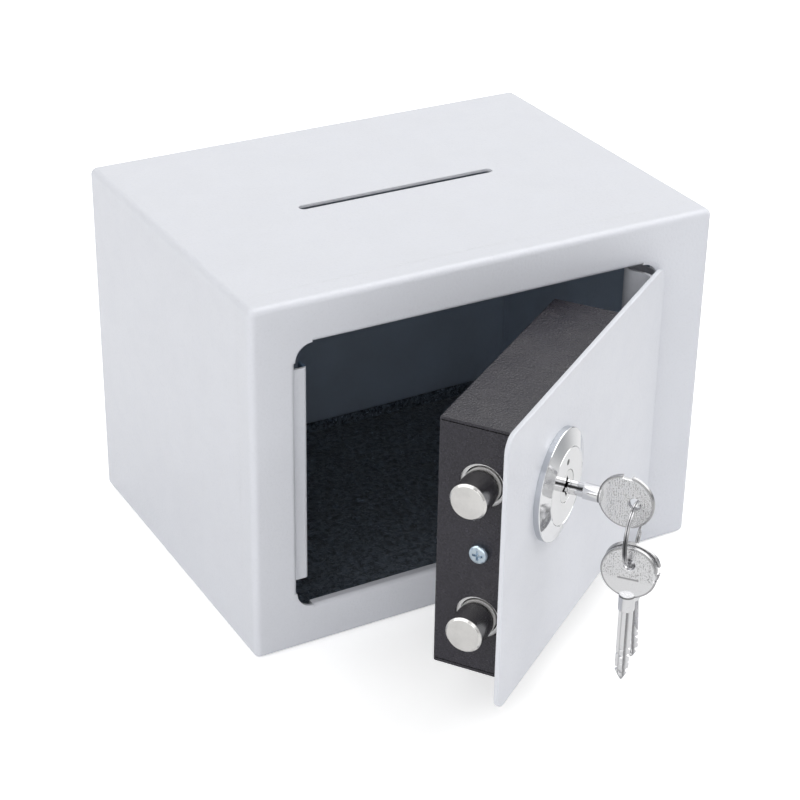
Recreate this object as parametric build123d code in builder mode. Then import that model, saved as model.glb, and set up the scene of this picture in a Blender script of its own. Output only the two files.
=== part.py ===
from build123d import *
import os
from math import cos, pi, radians, sin, sqrt

# Deposit safe with a slot in its top, a right-hung door, two round bolts and a cross-key lock.
# Millimetres. X runs to the right, Y to the back and Z up. The origin is on the underside, at the
# middle of the body. Door pieces are drawn as if the door were shut, then swung open together.
# A depth is a distance behind the front face of the body, or for a door piece behind the face of
# the door, so it is negative in front of it.

# Body
BODY_WIDTH = 230.0
BODY_DEPTH = 170.0
BODY_HEIGHT = 170.0
SHELL_SHEET = 1.5
EDGE_RADIUS = 3.0
FILLET_ALLOWANCE = 0.003
FRAME_FLANGE = 12.0

# Door opening
LEFT_JAMB = 20.5
RIGHT_JAMB = 28.5
SILL_HEIGHT = 20.4
TOP_RAIL = 20.0
OPENING_CORNER = 8.0
LIP_DEPTH = 4.5
STRIKE_LIP_DEPTH = 7.0
LIP_BEND = 2.0

# Deposit slot and anchor holes
DEPOSIT_SLOT_LENGTH = 100.0
DEPOSIT_SLOT_WIDTH = 4.6
ANCHOR_HOLE_RADIUS = 5.0
ANCHOR_SPACING = 130.0
WALL_ANCHOR_HEIGHT = 85.0

# Strike channel in the left jamb
STRIKE_SHEET = 1.2
STRIKE_PAST_BOLTS = 12.5
STRIKE_WIDTH = 7.2
STRIKE_BEND = 1.6
STRIKE_GAP = 0.3

# Floor felt
MAT_THICKNESS = 3.0
MAT_UPTURN = 8.0
MAT_UPTURN_THICKNESS = 2.0
MAT_CLEARANCE = 0.3

# Door plate
DOOR_SHEET = 2.0
DOOR_RECESS = 1.2
DOOR_GAP = 0.9
HINGE_SIDE_GAP = 1.8
DOOR_CORNER = 7.0
DOOR_EDGE_RADIUS = 0.6
DOOR_OPEN_ANGLE = 35.3

# Hinge
PIVOT_FROM_JAMB = 7.1
PIVOT_DEPTH = 5.5
PIN_RADIUS = 2.0
PIN_CLEARANCE = 0.05
PIN_LENGTH = 16.0
PIN_HEAD_RADIUS = 3.2
PIN_HEAD_HEIGHT = 1.4
BARREL_RADIUS = 3.5
LEAF_SHEET = 1.5
LEAF_LEG_FROM_PIVOT = 12.6
LEAF_TURN_DEPTH = 12.0
LEAF_BEND = 7.0
LEAF_FLANGE = 26.0
LEAF_INSET = 4.0
HINGE_END_GAP = 0.3
BRACKET_SHEET = 2.0
BRACKET_WIDTH = 16.0
BRACKET_REACH = 9.5
BRACKET_LEG = 14.0

# Mechanism cover
COVER_FROM_FREE_EDGE = 15.1
COVER_FROM_HINGE_EDGE = 43.8
COVER_FROM_ENDS = 5.7
COVER_DEPTH = 34.3
COVER_SHEET = 1.2
COVER_FOLD_RADIUS = 1.2
COVER_SEAM = 0.5
COVER_BOLT_HOLE_RADIUS = 9.8

# Bolts and their guide
BOLT_RADIUS = 8.0
BOLT_LENGTH = 28.0
BOLT_THROW_PAST_COVER = 14.6
BOLT_SPACING = 62.5
BOLT_DEPTH = 16.8
BOLT_CHAMFER = 0.9
GUIDE_CLEARANCE = 0.4
GUIDE_SHEET = 1.5
GUIDE_PAST_BOLTS = 7.5
GUIDE_REACH = 28.0
GUIDE_BASE = 17.5
COVER_GAP = 0.3

# Screws of the cover
SCREW_HEAD_RADIUS = 4.3
SCREW_HEAD_HEIGHT = 2.6
HEAD_CROWN_SHARE = 0.6
SCREW_SHANK_RADIUS = 2.0
SCREW_LENGTH = 8.0
SCREW_CLEARANCE = 0.3
THREAD_CLEARANCE = 0.05
CROSS_SLOT_LENGTH = 4.6
CROSS_SLOT_WIDTH = 1.1
CROSS_SLOT_DEPTH = 1.5
COVER_TAB_HEIGHT = 24.0
COVER_TAB_BASE = 18.0

# Lock
LOCK_FROM_BOLTS = 24.5
LOCK_RISE = 17.0
ESCUTCHEON_RADIUS = 24.4
ESCUTCHEON_RIM = 2.7
ESCUTCHEON_FLAT_RADIUS = 17.3
LOCK_FACE_RADIUS = 16.8
LOCK_FACE_DEPTH = 4.8
LOCK_FACE_CHAMFER = 0.25
LOCK_BODY_RADIUS = 11.0
LOCK_BODY_DEPTH = 22.5
LOCK_HOLE_CLEARANCE = 0.3
NUT_ACROSS_FLATS = 27.0
NUT_THICKNESS = 5.0
PLUG_FRONT_RADIUS = 7.0
PLUG_FRONT_LENGTH = 0.8
PLUG_RADIUS = 6.3
PLUG_CLEARANCE = 0.3
PLUG_RECESS = 0.1
ESCUTCHEON_CLEARANCE = 0.05

# Keyway, a star with four points. Its inner corners are this far from both middle lines
KEYWAY_CORNER = 1.9
KEYWAY_TIP = 5.1

# Crank
CRANK_RADIUS = 6.4
CRANK_SHEET = 2.2
CRANK_HUB_RADIUS = 7.2
CRANK_PIN_RADIUS = 2.0
CRANK_PIN_OVERRUN = 1.6
CRANK_END_WALL = 2.0
CRANK_HALF_TURN = 45.0
CRANK_SLOT_CLEARANCE = 0.35
CRANK_TIP_HOLE_RADIUS = 2.2
CRANK_SCREW_FROM_AXIS = 4.6
CRANK_SCREW_RADIUS = 0.9
CRANK_SCREW_HEAD_RADIUS = 1.9
CRANK_SCREW_HEAD_HEIGHT = 1.1
CRANK_SCREW_LENGTH = 6.0

# Bolt carrier
CARRIER_SHEET = 2.0
CARRIER_BEHIND_BOLTS = 2.8
CARRIER_GAP = 0.3
CARRIER_WIDTH = 54.0
CARRIER_PAST_BOLTS = 4.0
CARRIER_FLANGE_REACH = 18.0
STUD_SHOULDER_RADIUS = 5.0
STUD_NECK_RADIUS = 3.0
STUD_THREAD_RADIUS = 1.5
STUD_FROM_LOCK = 10.2
UPPER_STUD_RISE = 20.4
LOWER_STUD_DROP = 44.0
WASHER_RADIUS = 6.0
WASHER_THICKNESS = 1.0
STUD_SCREW_HEAD_RADIUS = 3.0
STUD_SCREW_HEAD_HEIGHT = 1.6
STUD_SCREW_LENGTH = 7.0
BOLT_SCREW_RADIUS = 2.5
BOLT_SCREW_HEAD_RADIUS = 4.5
BOLT_SCREW_HEAD_HEIGHT = 2.6
BOLT_SCREW_LENGTH = 12.0

# Keys
BOW_RADIUS = 12.0
BOW_THICKNESS = 2.0
BOW_EDGE = 0.3
BOW_HOLE_RADIUS = 2.5
BOW_HOLE_OFFSET = 3.9
BOW_NOTCH_WIDTH = 4.0
BOW_NOTCH_DEPTH = 1.3
COLLAR_RADIUS = 3.5
COLLAR_LENGTH = 7.6
COLLAR_OVERLAP = 1.6
BLADE_LENGTH = 35.5
BLADE_RADIUS = 2.9
BLADE_WEB = 1.6
BLADE_TIP_RADIUS = 0.5
OUTLINE_OVERRUN = 0.3
ARROW_LENGTH = 4.6
ARROW_NECK_LENGTH = 1.6
ARROW_NECK_RADIUS = 1.9
BIT_PITCH = 3.4
BIT_DEPTHS = (0.5, 0.9, 0.4)
COLLAR_FROM_DOOR = 12.7

# Key ring and spare keys
RING_RADIUS = 12.6
RING_WIRE_RADIUS = 0.9
RING_HEADING = -140.1
RING_CLEARANCE = 0.3
SPARE_FRONT_OFFSET = 2.2
SPARE_REAR_OFFSET = -2.5
SPARE_REAR_TILT = 11.0

# Levels and edges worked out from the sizes above
front_y = -BODY_DEPTH / 2
back_y = BODY_DEPTH / 2
opening_left = -BODY_WIDTH / 2 + LEFT_JAMB
opening_right = BODY_WIDTH / 2 - RIGHT_JAMB
opening_top = BODY_HEIGHT - TOP_RAIL
opening_width = opening_right - opening_left
opening_height = opening_top - SILL_HEIGHT
opening_middle_x = (opening_left + opening_right) / 2
opening_middle_z = (opening_top + SILL_HEIGHT) / 2

door_left = opening_left + DOOR_GAP
door_right = opening_right - HINGE_SIDE_GAP
door_width = door_right - door_left
door_height = opening_height - 2 * DOOR_GAP
door_middle_x = (door_left + door_right) / 2
door_top = opening_middle_z + door_height / 2
door_bottom = opening_middle_z - door_height / 2

pivot_x = opening_right + PIVOT_FROM_JAMB
pivot_y = front_y + PIVOT_DEPTH
leaf_top = door_top - LEAF_INSET
leaf_bottom = door_bottom + LEAF_INSET

cover_left = door_left + COVER_FROM_FREE_EDGE
cover_right = door_right - COVER_FROM_HINGE_EDGE
cover_width = cover_right - cover_left
cover_height = door_height - 2 * COVER_FROM_ENDS
cover_middle_x = (cover_left + cover_right) / 2
guide_left = cover_left + COVER_SHEET + COVER_GAP
guide_right = guide_left + GUIDE_SHEET
tab_right = cover_right - COVER_SHEET - COVER_GAP

bolt_heights = (opening_middle_z + BOLT_SPACING / 2, opening_middle_z - BOLT_SPACING / 2)
bolts_height = BOLT_SPACING + 2 * BOLT_RADIUS
strike_height = bolts_height + 2 * STRIKE_PAST_BOLTS
guide_height = bolts_height + 2 * GUIDE_PAST_BOLTS
carrier_height = bolts_height + 2 * CARRIER_PAST_BOLTS
bolt_end_x = cover_left - BOLT_THROW_PAST_COVER
bolt_rear_x = bolt_end_x + BOLT_LENGTH
bolt_y = front_y + BOLT_DEPTH

lock_x = bolt_rear_x + LOCK_FROM_BOLTS
lock_z = opening_middle_z + LOCK_RISE
carrier_depth = BOLT_DEPTH + BOLT_RADIUS + CARRIER_BEHIND_BOLTS
carrier_left = bolt_rear_x
bolt_travel = 2 * CRANK_RADIUS * sin(radians(CRANK_HALF_TURN))
crank_pin_x = lock_x - CRANK_RADIUS * sin(radians(CRANK_HALF_TURN))
crank_pin_z = lock_z + CRANK_RADIUS * cos(radians(CRANK_HALF_TURN))
stud_places = (
    (lock_x + STUD_FROM_LOCK, lock_z + UPPER_STUD_RISE),
    (lock_x + STUD_FROM_LOCK, lock_z - LOWER_STUD_DROP),
)
stud_shoulder_depth = carrier_depth - CARRIER_GAP
stud_top_depth = carrier_depth + CARRIER_SHEET + CARRIER_GAP

# The door's pieces are drawn with the door's face in the plane of the body's front. This sets them
# back by the recess and swings them about the pins
barrel_y = pivot_y - DOOR_RECESS
open_door = (
    Location((pivot_x, pivot_y, 0))
    * Location((0, 0, 0), (0, 0, DOOR_OPEN_ANGLE))
    * Location((-pivot_x, -barrel_y, 0))
)
door_inward = Vector(-sin(radians(DOOR_OPEN_ANGLE)), cos(radians(DOOR_OPEN_ANGLE)), 0)
door_along = Vector(cos(radians(DOOR_OPEN_ANGLE)), sin(radians(DOOR_OPEN_ANGLE)), 0)
inward_axis = Axis((pivot_x, pivot_y, 0), door_inward)
along_axis = Axis((pivot_x, pivot_y, 0), door_along)


def facing(depth):
    """Plane parallel to the front, at a depth behind it: local x to the right, local y up."""
    return Plane.XZ.offset(-(front_y + depth))


def upright(x):
    """Plane square to X: local x to the back, local y up."""
    return Plane.YZ.offset(x)


def level(z):
    """Horizontal plane: local x to the right, local y to the back."""
    return Plane.XY.offset(z)


def swung(plane):
    """The same plane on the open door."""
    return Plane(open_door * plane.location)


def save(builder, name):
    """Label a finished piece and write it."""
    builder.part.label = name
    export_step(builder.part, f"parts/{name}.step")


os.makedirs("parts", exist_ok=True)


# Front frame: a pressed pan whose opening has a lip turned in along each straight side, deeper on
# the left to carry the strike channel. A lip's section has local x from the clear edge into the
# frame, and local y to the back
lip_height = opening_height - 2 * OPENING_CORNER
lip_width = opening_width - 2 * OPENING_CORNER
lip_runs = (
    ((opening_right, opening_middle_z), (1, 0, 0), (0, 0, 1), lip_height, LIP_DEPTH),
    ((opening_left, opening_middle_z), (-1, 0, 0), (0, 0, -1), lip_height, STRIKE_LIP_DEPTH),
    ((opening_middle_x, opening_top), (0, 0, 1), (-1, 0, 0), lip_width, LIP_DEPTH),
    ((opening_middle_x, SILL_HEIGHT), (0, 0, -1), (1, 0, 0), lip_width, LIP_DEPTH),
)

with BuildPart() as front_frame:
    with BuildSketch(facing(0)):
        with Locations((0, BODY_HEIGHT / 2)):
            RectangleRounded(BODY_WIDTH, BODY_HEIGHT, EDGE_RADIUS)
    extrude(amount=-FRAME_FLANGE)
    fillet(front_frame.faces().sort_by(Axis.Y)[0].edges(), EDGE_RADIUS - FILLET_ALLOWANCE)
    with BuildSketch(facing(SHELL_SHEET)):
        with Locations((0, BODY_HEIGHT / 2)):
            RectangleRounded(
                BODY_WIDTH - 2 * SHELL_SHEET, BODY_HEIGHT - 2 * SHELL_SHEET, EDGE_RADIUS - SHELL_SHEET
            )
    extrude(amount=-FRAME_FLANGE, mode=Mode.SUBTRACT)
    with BuildSketch(facing(0)):
        with Locations((opening_middle_x, opening_middle_z)):
            RectangleRounded(opening_width, opening_height, OPENING_CORNER)
            Rectangle(opening_width + 2 * LIP_BEND, lip_height)
            Rectangle(lip_width, opening_height + 2 * LIP_BEND)
    extrude(amount=-SHELL_SHEET, mode=Mode.SUBTRACT)
    for (lip_x, lip_z), across, along, run, depth in lip_runs:
        with BuildSketch(Plane(origin=(lip_x, front_y, lip_z), x_dir=across, z_dir=along)):
            with BuildLine():
                outer = RadiusArc((LIP_BEND, 0), (0, LIP_BEND), LIP_BEND)
                side = Polyline(
                    outer @ 1, (0, depth), (SHELL_SHEET, depth), (SHELL_SHEET, LIP_BEND)
                )
                inner = RadiusArc(side @ 1, (LIP_BEND, SHELL_SHEET), SHELL_SHEET - LIP_BEND)
                Line(inner @ 1, outer @ 0)
            make_face()
        extrude(amount=run / 2, both=True)
save(front_frame, "front_frame")

# Body wrap: top, sides and floor bent from one sheet
with BuildPart() as body_wrap:
    with BuildSketch(facing(FRAME_FLANGE)):
        with Locations((0, BODY_HEIGHT / 2)):
            RectangleRounded(BODY_WIDTH, BODY_HEIGHT, EDGE_RADIUS)
            RectangleRounded(
                BODY_WIDTH - 2 * SHELL_SHEET,
                BODY_HEIGHT - 2 * SHELL_SHEET,
                EDGE_RADIUS - SHELL_SHEET,
                mode=Mode.SUBTRACT,
            )
    extrude(amount=-(BODY_DEPTH - FRAME_FLANGE))
    with BuildSketch(level(BODY_HEIGHT)):
        SlotOverall(DEPOSIT_SLOT_LENGTH, DEPOSIT_SLOT_WIDTH)
    extrude(amount=-SHELL_SHEET, mode=Mode.SUBTRACT)
    with BuildSketch(level(0)):
        with GridLocations(ANCHOR_SPACING, 0, 2, 1):
            Circle(ANCHOR_HOLE_RADIUS)
    extrude(amount=SHELL_SHEET, mode=Mode.SUBTRACT)
save(body_wrap, "body_wrap")

# Back panel, welded inside the end of the wrap
with BuildPart() as back_panel:
    with BuildSketch(facing(BODY_DEPTH)):
        with Locations((0, BODY_HEIGHT / 2)):
            RectangleRounded(
                BODY_WIDTH - 2 * SHELL_SHEET, BODY_HEIGHT - 2 * SHELL_SHEET, EDGE_RADIUS - SHELL_SHEET
            )
        with Locations((0, WALL_ANCHOR_HEIGHT)):
            with GridLocations(ANCHOR_SPACING, 0, 2, 1):
                Circle(ANCHOR_HOLE_RADIUS, mode=Mode.SUBTRACT)
    extrude(amount=SHELL_SHEET)
save(back_panel, "back_panel")

# Strike channel: open to the back, its left leg welded to the left lip
strike_depth = DOOR_RECESS + DOOR_SHEET + STRIKE_GAP
bolt_clear_depth = DOOR_RECESS + BOLT_DEPTH - BOLT_RADIUS - STRIKE_GAP
with BuildPart() as strike_channel:
    with BuildSketch(level(opening_middle_z - strike_height / 2)):
        with BuildLine():
            web_y = front_y + strike_depth + STRIKE_SHEET / 2
            left_x = opening_left + STRIKE_SHEET / 2
            right_x = opening_left + STRIKE_WIDTH - STRIKE_SHEET / 2
            FilletPolyline(
                (left_x, front_y + STRIKE_LIP_DEPTH),
                (left_x, web_y),
                (right_x, web_y),
                (right_x, front_y + bolt_clear_depth),
                radius=STRIKE_BEND - STRIKE_SHEET / 2,
            )
        trace(line_width=STRIKE_SHEET)
    extrude(amount=strike_height)
save(strike_channel, "strike_channel")

# Felt on the floor, turned up against the back panel
with BuildPart() as floor_mat:
    mat_width = BODY_WIDTH - 2 * (SHELL_SHEET + MAT_CLEARANCE) - EDGE_RADIUS
    with BuildSketch(upright(-mat_width / 2)):
        with BuildLine():
            mat_front = front_y + SHELL_SHEET + MAT_CLEARANCE
            mat_back = back_y - SHELL_SHEET - MAT_CLEARANCE
            mat_top = SHELL_SHEET + MAT_THICKNESS
            Polyline(
                (mat_front, SHELL_SHEET),
                (mat_back, SHELL_SHEET),
                (mat_back, SHELL_SHEET + MAT_UPTURN),
                (mat_back - MAT_UPTURN_THICKNESS, SHELL_SHEET + MAT_UPTURN),
                (mat_back - 2 * MAT_UPTURN_THICKNESS, mat_top),
                (mat_front, mat_top),
                close=True,
            )
        make_face()
    extrude(amount=mat_width)
save(floor_mat, "floor_mat")


# Hinge brackets behind the right jamb, and their pins. rise is 1 at the top and -1 at the bottom
def build_bracket(tab_z, rise):
    """Angle bracket: a level tab round the pin, and a leg on the back of the frame."""
    with BuildPart() as bracket:
        with BuildSketch(level(tab_z)):
            with Locations((pivot_x, front_y + SHELL_SHEET)):
                Rectangle(BRACKET_WIDTH, BRACKET_REACH, align=(Align.CENTER, Align.MIN))
            with Locations((pivot_x, pivot_y)):
                Circle(PIN_RADIUS + PIN_CLEARANCE, mode=Mode.SUBTRACT)
        extrude(amount=rise * BRACKET_SHEET)
        with BuildSketch(level(tab_z + rise * BRACKET_SHEET)):
            with Locations((pivot_x, front_y + SHELL_SHEET)):
                Rectangle(BRACKET_WIDTH, BRACKET_SHEET, align=(Align.CENTER, Align.MIN))
                Rectangle(2 * PIN_HEAD_RADIUS, 2 * BRACKET_SHEET, mode=Mode.SUBTRACT)
        extrude(amount=rise * BRACKET_LEG)
    return bracket


def build_pin(tab_z, rise):
    """Pin with a flat head that rests on the tab."""
    with BuildPart() as pin:
        with BuildSketch(level(tab_z + rise * BRACKET_SHEET)):
            with Locations((pivot_x, pivot_y)):
                Circle(PIN_RADIUS)
        extrude(amount=-rise * PIN_LENGTH)
        with BuildSketch(level(tab_z + rise * BRACKET_SHEET)):
            with Locations((pivot_x, pivot_y)):
                Circle(PIN_HEAD_RADIUS)
        extrude(amount=rise * PIN_HEAD_HEIGHT)
    return pin


for end, tab_z, rise in (
    ("top", leaf_top + HINGE_END_GAP, 1),
    ("bottom", leaf_bottom - HINGE_END_GAP, -1),
):
    save(build_bracket(tab_z, rise), f"hinge_bracket_{end}")
    save(build_pin(tab_z, rise), f"hinge_pin_{end}")

# Door plate
with BuildPart() as door_plate:
    with BuildSketch(swung(facing(0))):
        with Locations((door_middle_x, opening_middle_z)):
            RectangleRounded(door_width, door_height, DOOR_CORNER)
    extrude(amount=-DOOR_SHEET)
    fillet(door_plate.faces().sort_by(inward_axis)[0].edges(), DOOR_EDGE_RADIUS)
    with BuildSketch(swung(facing(0))):
        with Locations((lock_x, lock_z)):
            Circle(LOCK_BODY_RADIUS + LOCK_HOLE_CLEARANCE)
    extrude(amount=-DOOR_SHEET, mode=Mode.SUBTRACT)
save(door_plate, "door_plate")

# Hinge leaf: welded to the back of the door, it goes round the lip of the jamb to its barrel
with BuildPart() as hinge_leaf:
    with BuildSketch(swung(level(leaf_bottom))):
        leg_x = pivot_x - LEAF_LEG_FROM_PIVOT
        return_x = pivot_x + BARREL_RADIUS - LEAF_SHEET / 2
        flange_y = front_y + DOOR_SHEET + LEAF_SHEET / 2
        with BuildLine():
            flange = Line((leg_x - LEAF_BEND - LEAF_FLANGE, flange_y), (leg_x - LEAF_BEND, flange_y))
            bend = JernArc(flange @ 1, flange % 1, LEAF_BEND, 90)
            leg = Line(bend @ 1, (leg_x, front_y + LEAF_TURN_DEPTH))
            turn = JernArc(leg @ 1, leg % 1, (return_x - leg_x) / 2, -180)
            Line(turn @ 1, (return_x, barrel_y))
        trace(line_width=LEAF_SHEET)
        with Locations((pivot_x, barrel_y)):
            Circle(BARREL_RADIUS)
            Circle(PIN_RADIUS + PIN_CLEARANCE, mode=Mode.SUBTRACT)
    extrude(amount=leaf_top - leaf_bottom)
save(hinge_leaf, "hinge_leaf")


# Mechanism cover: a folded box, open to the door, with a gap along each corner seam
with BuildPart() as mechanism_cover:
    with BuildSketch(swung(facing(DOOR_SHEET))):
        with Locations((cover_middle_x, opening_middle_z)):
            Rectangle(cover_width, cover_height)
    extrude(amount=-COVER_DEPTH)
    fillet(mechanism_cover.faces().sort_by(inward_axis)[-1].edges(), COVER_FOLD_RADIUS)
    with BuildSketch(swung(facing(DOOR_SHEET))):
        with Locations((cover_middle_x, opening_middle_z)):
            Rectangle(cover_width - 2 * COVER_SHEET, cover_height - 2 * COVER_SHEET)
    extrude(amount=-(COVER_DEPTH - COVER_SHEET), mode=Mode.SUBTRACT)
    with BuildSketch(swung(facing(DOOR_SHEET))):
        with Locations((cover_middle_x, opening_middle_z)):
            with GridLocations(
                cover_width - COVER_SHEET, cover_height - 2 * COVER_SHEET - COVER_SEAM, 2, 2
            ):
                Rectangle(COVER_SHEET, COVER_SEAM)
    extrude(amount=-(COVER_DEPTH - COVER_FOLD_RADIUS), mode=Mode.SUBTRACT)
    with BuildSketch(swung(upright(cover_left))):
        with Locations((bolt_y, opening_middle_z)):
            with GridLocations(0, BOLT_SPACING, 1, 2):
                Circle(COVER_BOLT_HOLE_RADIUS)
            Circle(SCREW_SHANK_RADIUS + SCREW_CLEARANCE)
    extrude(amount=COVER_SHEET, mode=Mode.SUBTRACT)
    with BuildSketch(swung(upright(cover_right))):
        with Locations((bolt_y, opening_middle_z)):
            Circle(SCREW_SHANK_RADIUS + SCREW_CLEARANCE)
    extrude(amount=-COVER_SHEET, mode=Mode.SUBTRACT)
save(mechanism_cover, "mechanism_cover")

# Bolt bracket: its base is welded to the door and its flange guides both bolts
with BuildPart() as bolt_bracket:
    with BuildSketch(swung(upright(guide_left))):
        with Locations((front_y + DOOR_SHEET, opening_middle_z)):
            Rectangle(GUIDE_REACH, guide_height, align=(Align.MIN, Align.CENTER))
        with Locations((bolt_y, opening_middle_z)):
            with GridLocations(0, BOLT_SPACING, 1, 2):
                Circle(BOLT_RADIUS + GUIDE_CLEARANCE, mode=Mode.SUBTRACT)
            Circle(SCREW_SHANK_RADIUS + THREAD_CLEARANCE, mode=Mode.SUBTRACT)
    extrude(amount=GUIDE_SHEET)
    with BuildSketch(swung(facing(DOOR_SHEET))):
        with Locations((guide_right, opening_middle_z)):
            Rectangle(GUIDE_BASE, guide_height, align=(Align.MIN, Align.CENTER))
    extrude(amount=-GUIDE_SHEET)
save(bolt_bracket, "bolt_bracket")

# Cover bracket: the same on the hinge side, with no bolts
with BuildPart() as cover_bracket:
    with BuildSketch(swung(upright(tab_right))):
        with Locations((front_y + DOOR_SHEET, opening_middle_z)):
            Rectangle(GUIDE_REACH, COVER_TAB_HEIGHT, align=(Align.MIN, Align.CENTER))
        with Locations((bolt_y, opening_middle_z)):
            Circle(SCREW_SHANK_RADIUS + THREAD_CLEARANCE, mode=Mode.SUBTRACT)
    extrude(amount=-GUIDE_SHEET)
    with BuildSketch(swung(facing(DOOR_SHEET))):
        with Locations((tab_right - GUIDE_SHEET, opening_middle_z)):
            Rectangle(COVER_TAB_BASE, COVER_TAB_HEIGHT, align=(Align.MAX, Align.CENTER))
    extrude(amount=-GUIDE_SHEET)
save(cover_bracket, "cover_bracket")


# Pan head screws. The seat of the head is a plane whose normal leaves the head
def build_screw(seat, head_radius, head_height, shank_radius, length):
    """Pan head screw with a cross recess, its shank on the far side of its seat."""
    crown = Plane(origin=seat.origin + seat.z_dir * head_height, x_dir=seat.x_dir, z_dir=seat.z_dir)
    recess_share = head_radius / SCREW_HEAD_RADIUS
    with BuildPart() as screw:
        with BuildSketch(seat):
            Circle(head_radius)
        extrude(amount=head_height)
        fillet(
            screw.faces().sort_by(Axis(seat.origin, seat.z_dir))[-1].edges(),
            head_height * HEAD_CROWN_SHARE,
        )
        with BuildSketch(crown):
            Rectangle(CROSS_SLOT_LENGTH * recess_share, CROSS_SLOT_WIDTH * recess_share)
            Rectangle(CROSS_SLOT_WIDTH * recess_share, CROSS_SLOT_LENGTH * recess_share)
        extrude(amount=-CROSS_SLOT_DEPTH * recess_share, mode=Mode.SUBTRACT)
        with BuildSketch(seat):
            Circle(shank_radius)
        extrude(amount=-length)
    return screw.part


def seat_at(x, y, z, outward):
    """Plane on the shut door at a point, with its normal outward, then swung open."""
    return swung(Plane(origin=(x, y, z), x_dir=(0, 0, 1), z_dir=outward))


cover_screw_solids = [
    build_screw(seat, SCREW_HEAD_RADIUS, SCREW_HEAD_HEIGHT, SCREW_SHANK_RADIUS, SCREW_LENGTH)
    for seat in (
        seat_at(cover_left, bolt_y, opening_middle_z, (-1, 0, 0)),
        seat_at(cover_right, bolt_y, opening_middle_z, (1, 0, 0)),
    )
]
with BuildPart() as cover_screws:
    add(cover_screw_solids)
save(cover_screws, "cover_screws")

# Studs that the carrier slides on, with a washer and a screw on each
for which, (stud_x, stud_z) in zip(("upper", "lower"), stud_places):
    with BuildPart() as guide_stud:
        with BuildSketch(swung(facing(DOOR_SHEET))):
            with Locations((stud_x, stud_z)):
                Circle(STUD_SHOULDER_RADIUS)
        extrude(amount=-(stud_shoulder_depth - DOOR_SHEET))
        with BuildSketch(swung(facing(stud_shoulder_depth))):
            with Locations((stud_x, stud_z)):
                Circle(STUD_NECK_RADIUS)
        extrude(amount=-(stud_top_depth - stud_shoulder_depth))
        with BuildSketch(swung(facing(stud_top_depth))):
            with Locations((stud_x, stud_z)):
                Circle(STUD_THREAD_RADIUS + THREAD_CLEARANCE)
        extrude(amount=STUD_SCREW_LENGTH, mode=Mode.SUBTRACT)
    save(guide_stud, f"guide_stud_{which}")

with BuildPart() as guide_washers:
    with BuildSketch(swung(facing(stud_top_depth))):
        with Locations(*stud_places):
            Circle(WASHER_RADIUS)
            Circle(STUD_THREAD_RADIUS + SCREW_CLEARANCE, mode=Mode.SUBTRACT)
    extrude(amount=-WASHER_THICKNESS)
save(guide_washers, "guide_washers")

guide_screw_solids = [
    build_screw(
        seat_at(stud_x, front_y + stud_top_depth + WASHER_THICKNESS, stud_z, (0, 1, 0)),
        STUD_SCREW_HEAD_RADIUS,
        STUD_SCREW_HEAD_HEIGHT,
        STUD_THREAD_RADIUS,
        STUD_SCREW_LENGTH,
    )
    for stud_x, stud_z in stud_places
]
with BuildPart() as guide_screws:
    add(guide_screw_solids)
save(guide_screws, "guide_screws")

# Lock. Its turned pieces are drawn on a plane through the lock's axis: local x is a radius, local
# y the depth behind the front
lock_point = swung(Plane(origin=(lock_x, front_y, lock_z))).origin
lock_section = Plane(origin=lock_point, x_dir=door_along, z_dir=door_along.cross(door_inward))
lock_axis = Axis(lock_point, door_inward)

with BuildPart() as escutcheon:
    with BuildSketch(lock_section):
        with BuildLine():
            bore = LOCK_FACE_RADIUS + ESCUTCHEON_CLEARANCE
            Polyline(
                (bore, 0),
                (ESCUTCHEON_RADIUS, 0),
                (ESCUTCHEON_RADIUS, -ESCUTCHEON_RIM + LOCK_FACE_CHAMFER),
                (ESCUTCHEON_RADIUS - LOCK_FACE_CHAMFER, -ESCUTCHEON_RIM),
                (ESCUTCHEON_FLAT_RADIUS, -LOCK_FACE_DEPTH),
                (bore + LOCK_FACE_CHAMFER, -LOCK_FACE_DEPTH),
                (bore, -LOCK_FACE_DEPTH + LOCK_FACE_CHAMFER),
                close=True,
            )
        make_face()
    revolve(axis=lock_axis)
save(escutcheon, "escutcheon")

plug_front_depth = -LOCK_FACE_DEPTH + PLUG_RECESS
plug_step_depth = plug_front_depth + PLUG_FRONT_LENGTH
with BuildPart() as lock_housing:
    with BuildSketch(lock_section):
        with BuildLine():
            Polyline(
                (PLUG_RADIUS + PLUG_CLEARANCE, LOCK_BODY_DEPTH),
                (LOCK_BODY_RADIUS, LOCK_BODY_DEPTH),
                (LOCK_BODY_RADIUS, 0),
                (LOCK_FACE_RADIUS, 0),
                (LOCK_FACE_RADIUS, -LOCK_FACE_DEPTH + LOCK_FACE_CHAMFER),
                (LOCK_FACE_RADIUS - LOCK_FACE_CHAMFER, -LOCK_FACE_DEPTH),
                (PLUG_FRONT_RADIUS + PLUG_CLEARANCE, -LOCK_FACE_DEPTH),
                (PLUG_FRONT_RADIUS + PLUG_CLEARANCE, plug_step_depth + PLUG_CLEARANCE),
                (PLUG_RADIUS + PLUG_CLEARANCE, plug_step_depth + PLUG_CLEARANCE),
                close=True,
            )
        make_face()
    revolve(axis=lock_axis)
save(lock_housing, "lock_housing")

with BuildPart() as lock_nut:
    with BuildSketch(swung(facing(DOOR_SHEET))):
        with Locations((lock_x, lock_z)):
            RegularPolygon(NUT_ACROSS_FLATS / 2, 6, major_radius=False)
            Circle(LOCK_BODY_RADIUS + THREAD_CLEARANCE, mode=Mode.SUBTRACT)
    extrude(amount=-NUT_THICKNESS)
save(lock_nut, "lock_nut")


def star_points(corner, tip):
    """Outline of a star with four points, anticlockwise."""
    points = []
    for quarter in range(4):
        turn = radians(90 * quarter)
        for px, py in ((corner, corner), (0, tip)):
            points.append((px * cos(turn) - py * sin(turn), px * sin(turn) + py * cos(turn)))
    return points


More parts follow.
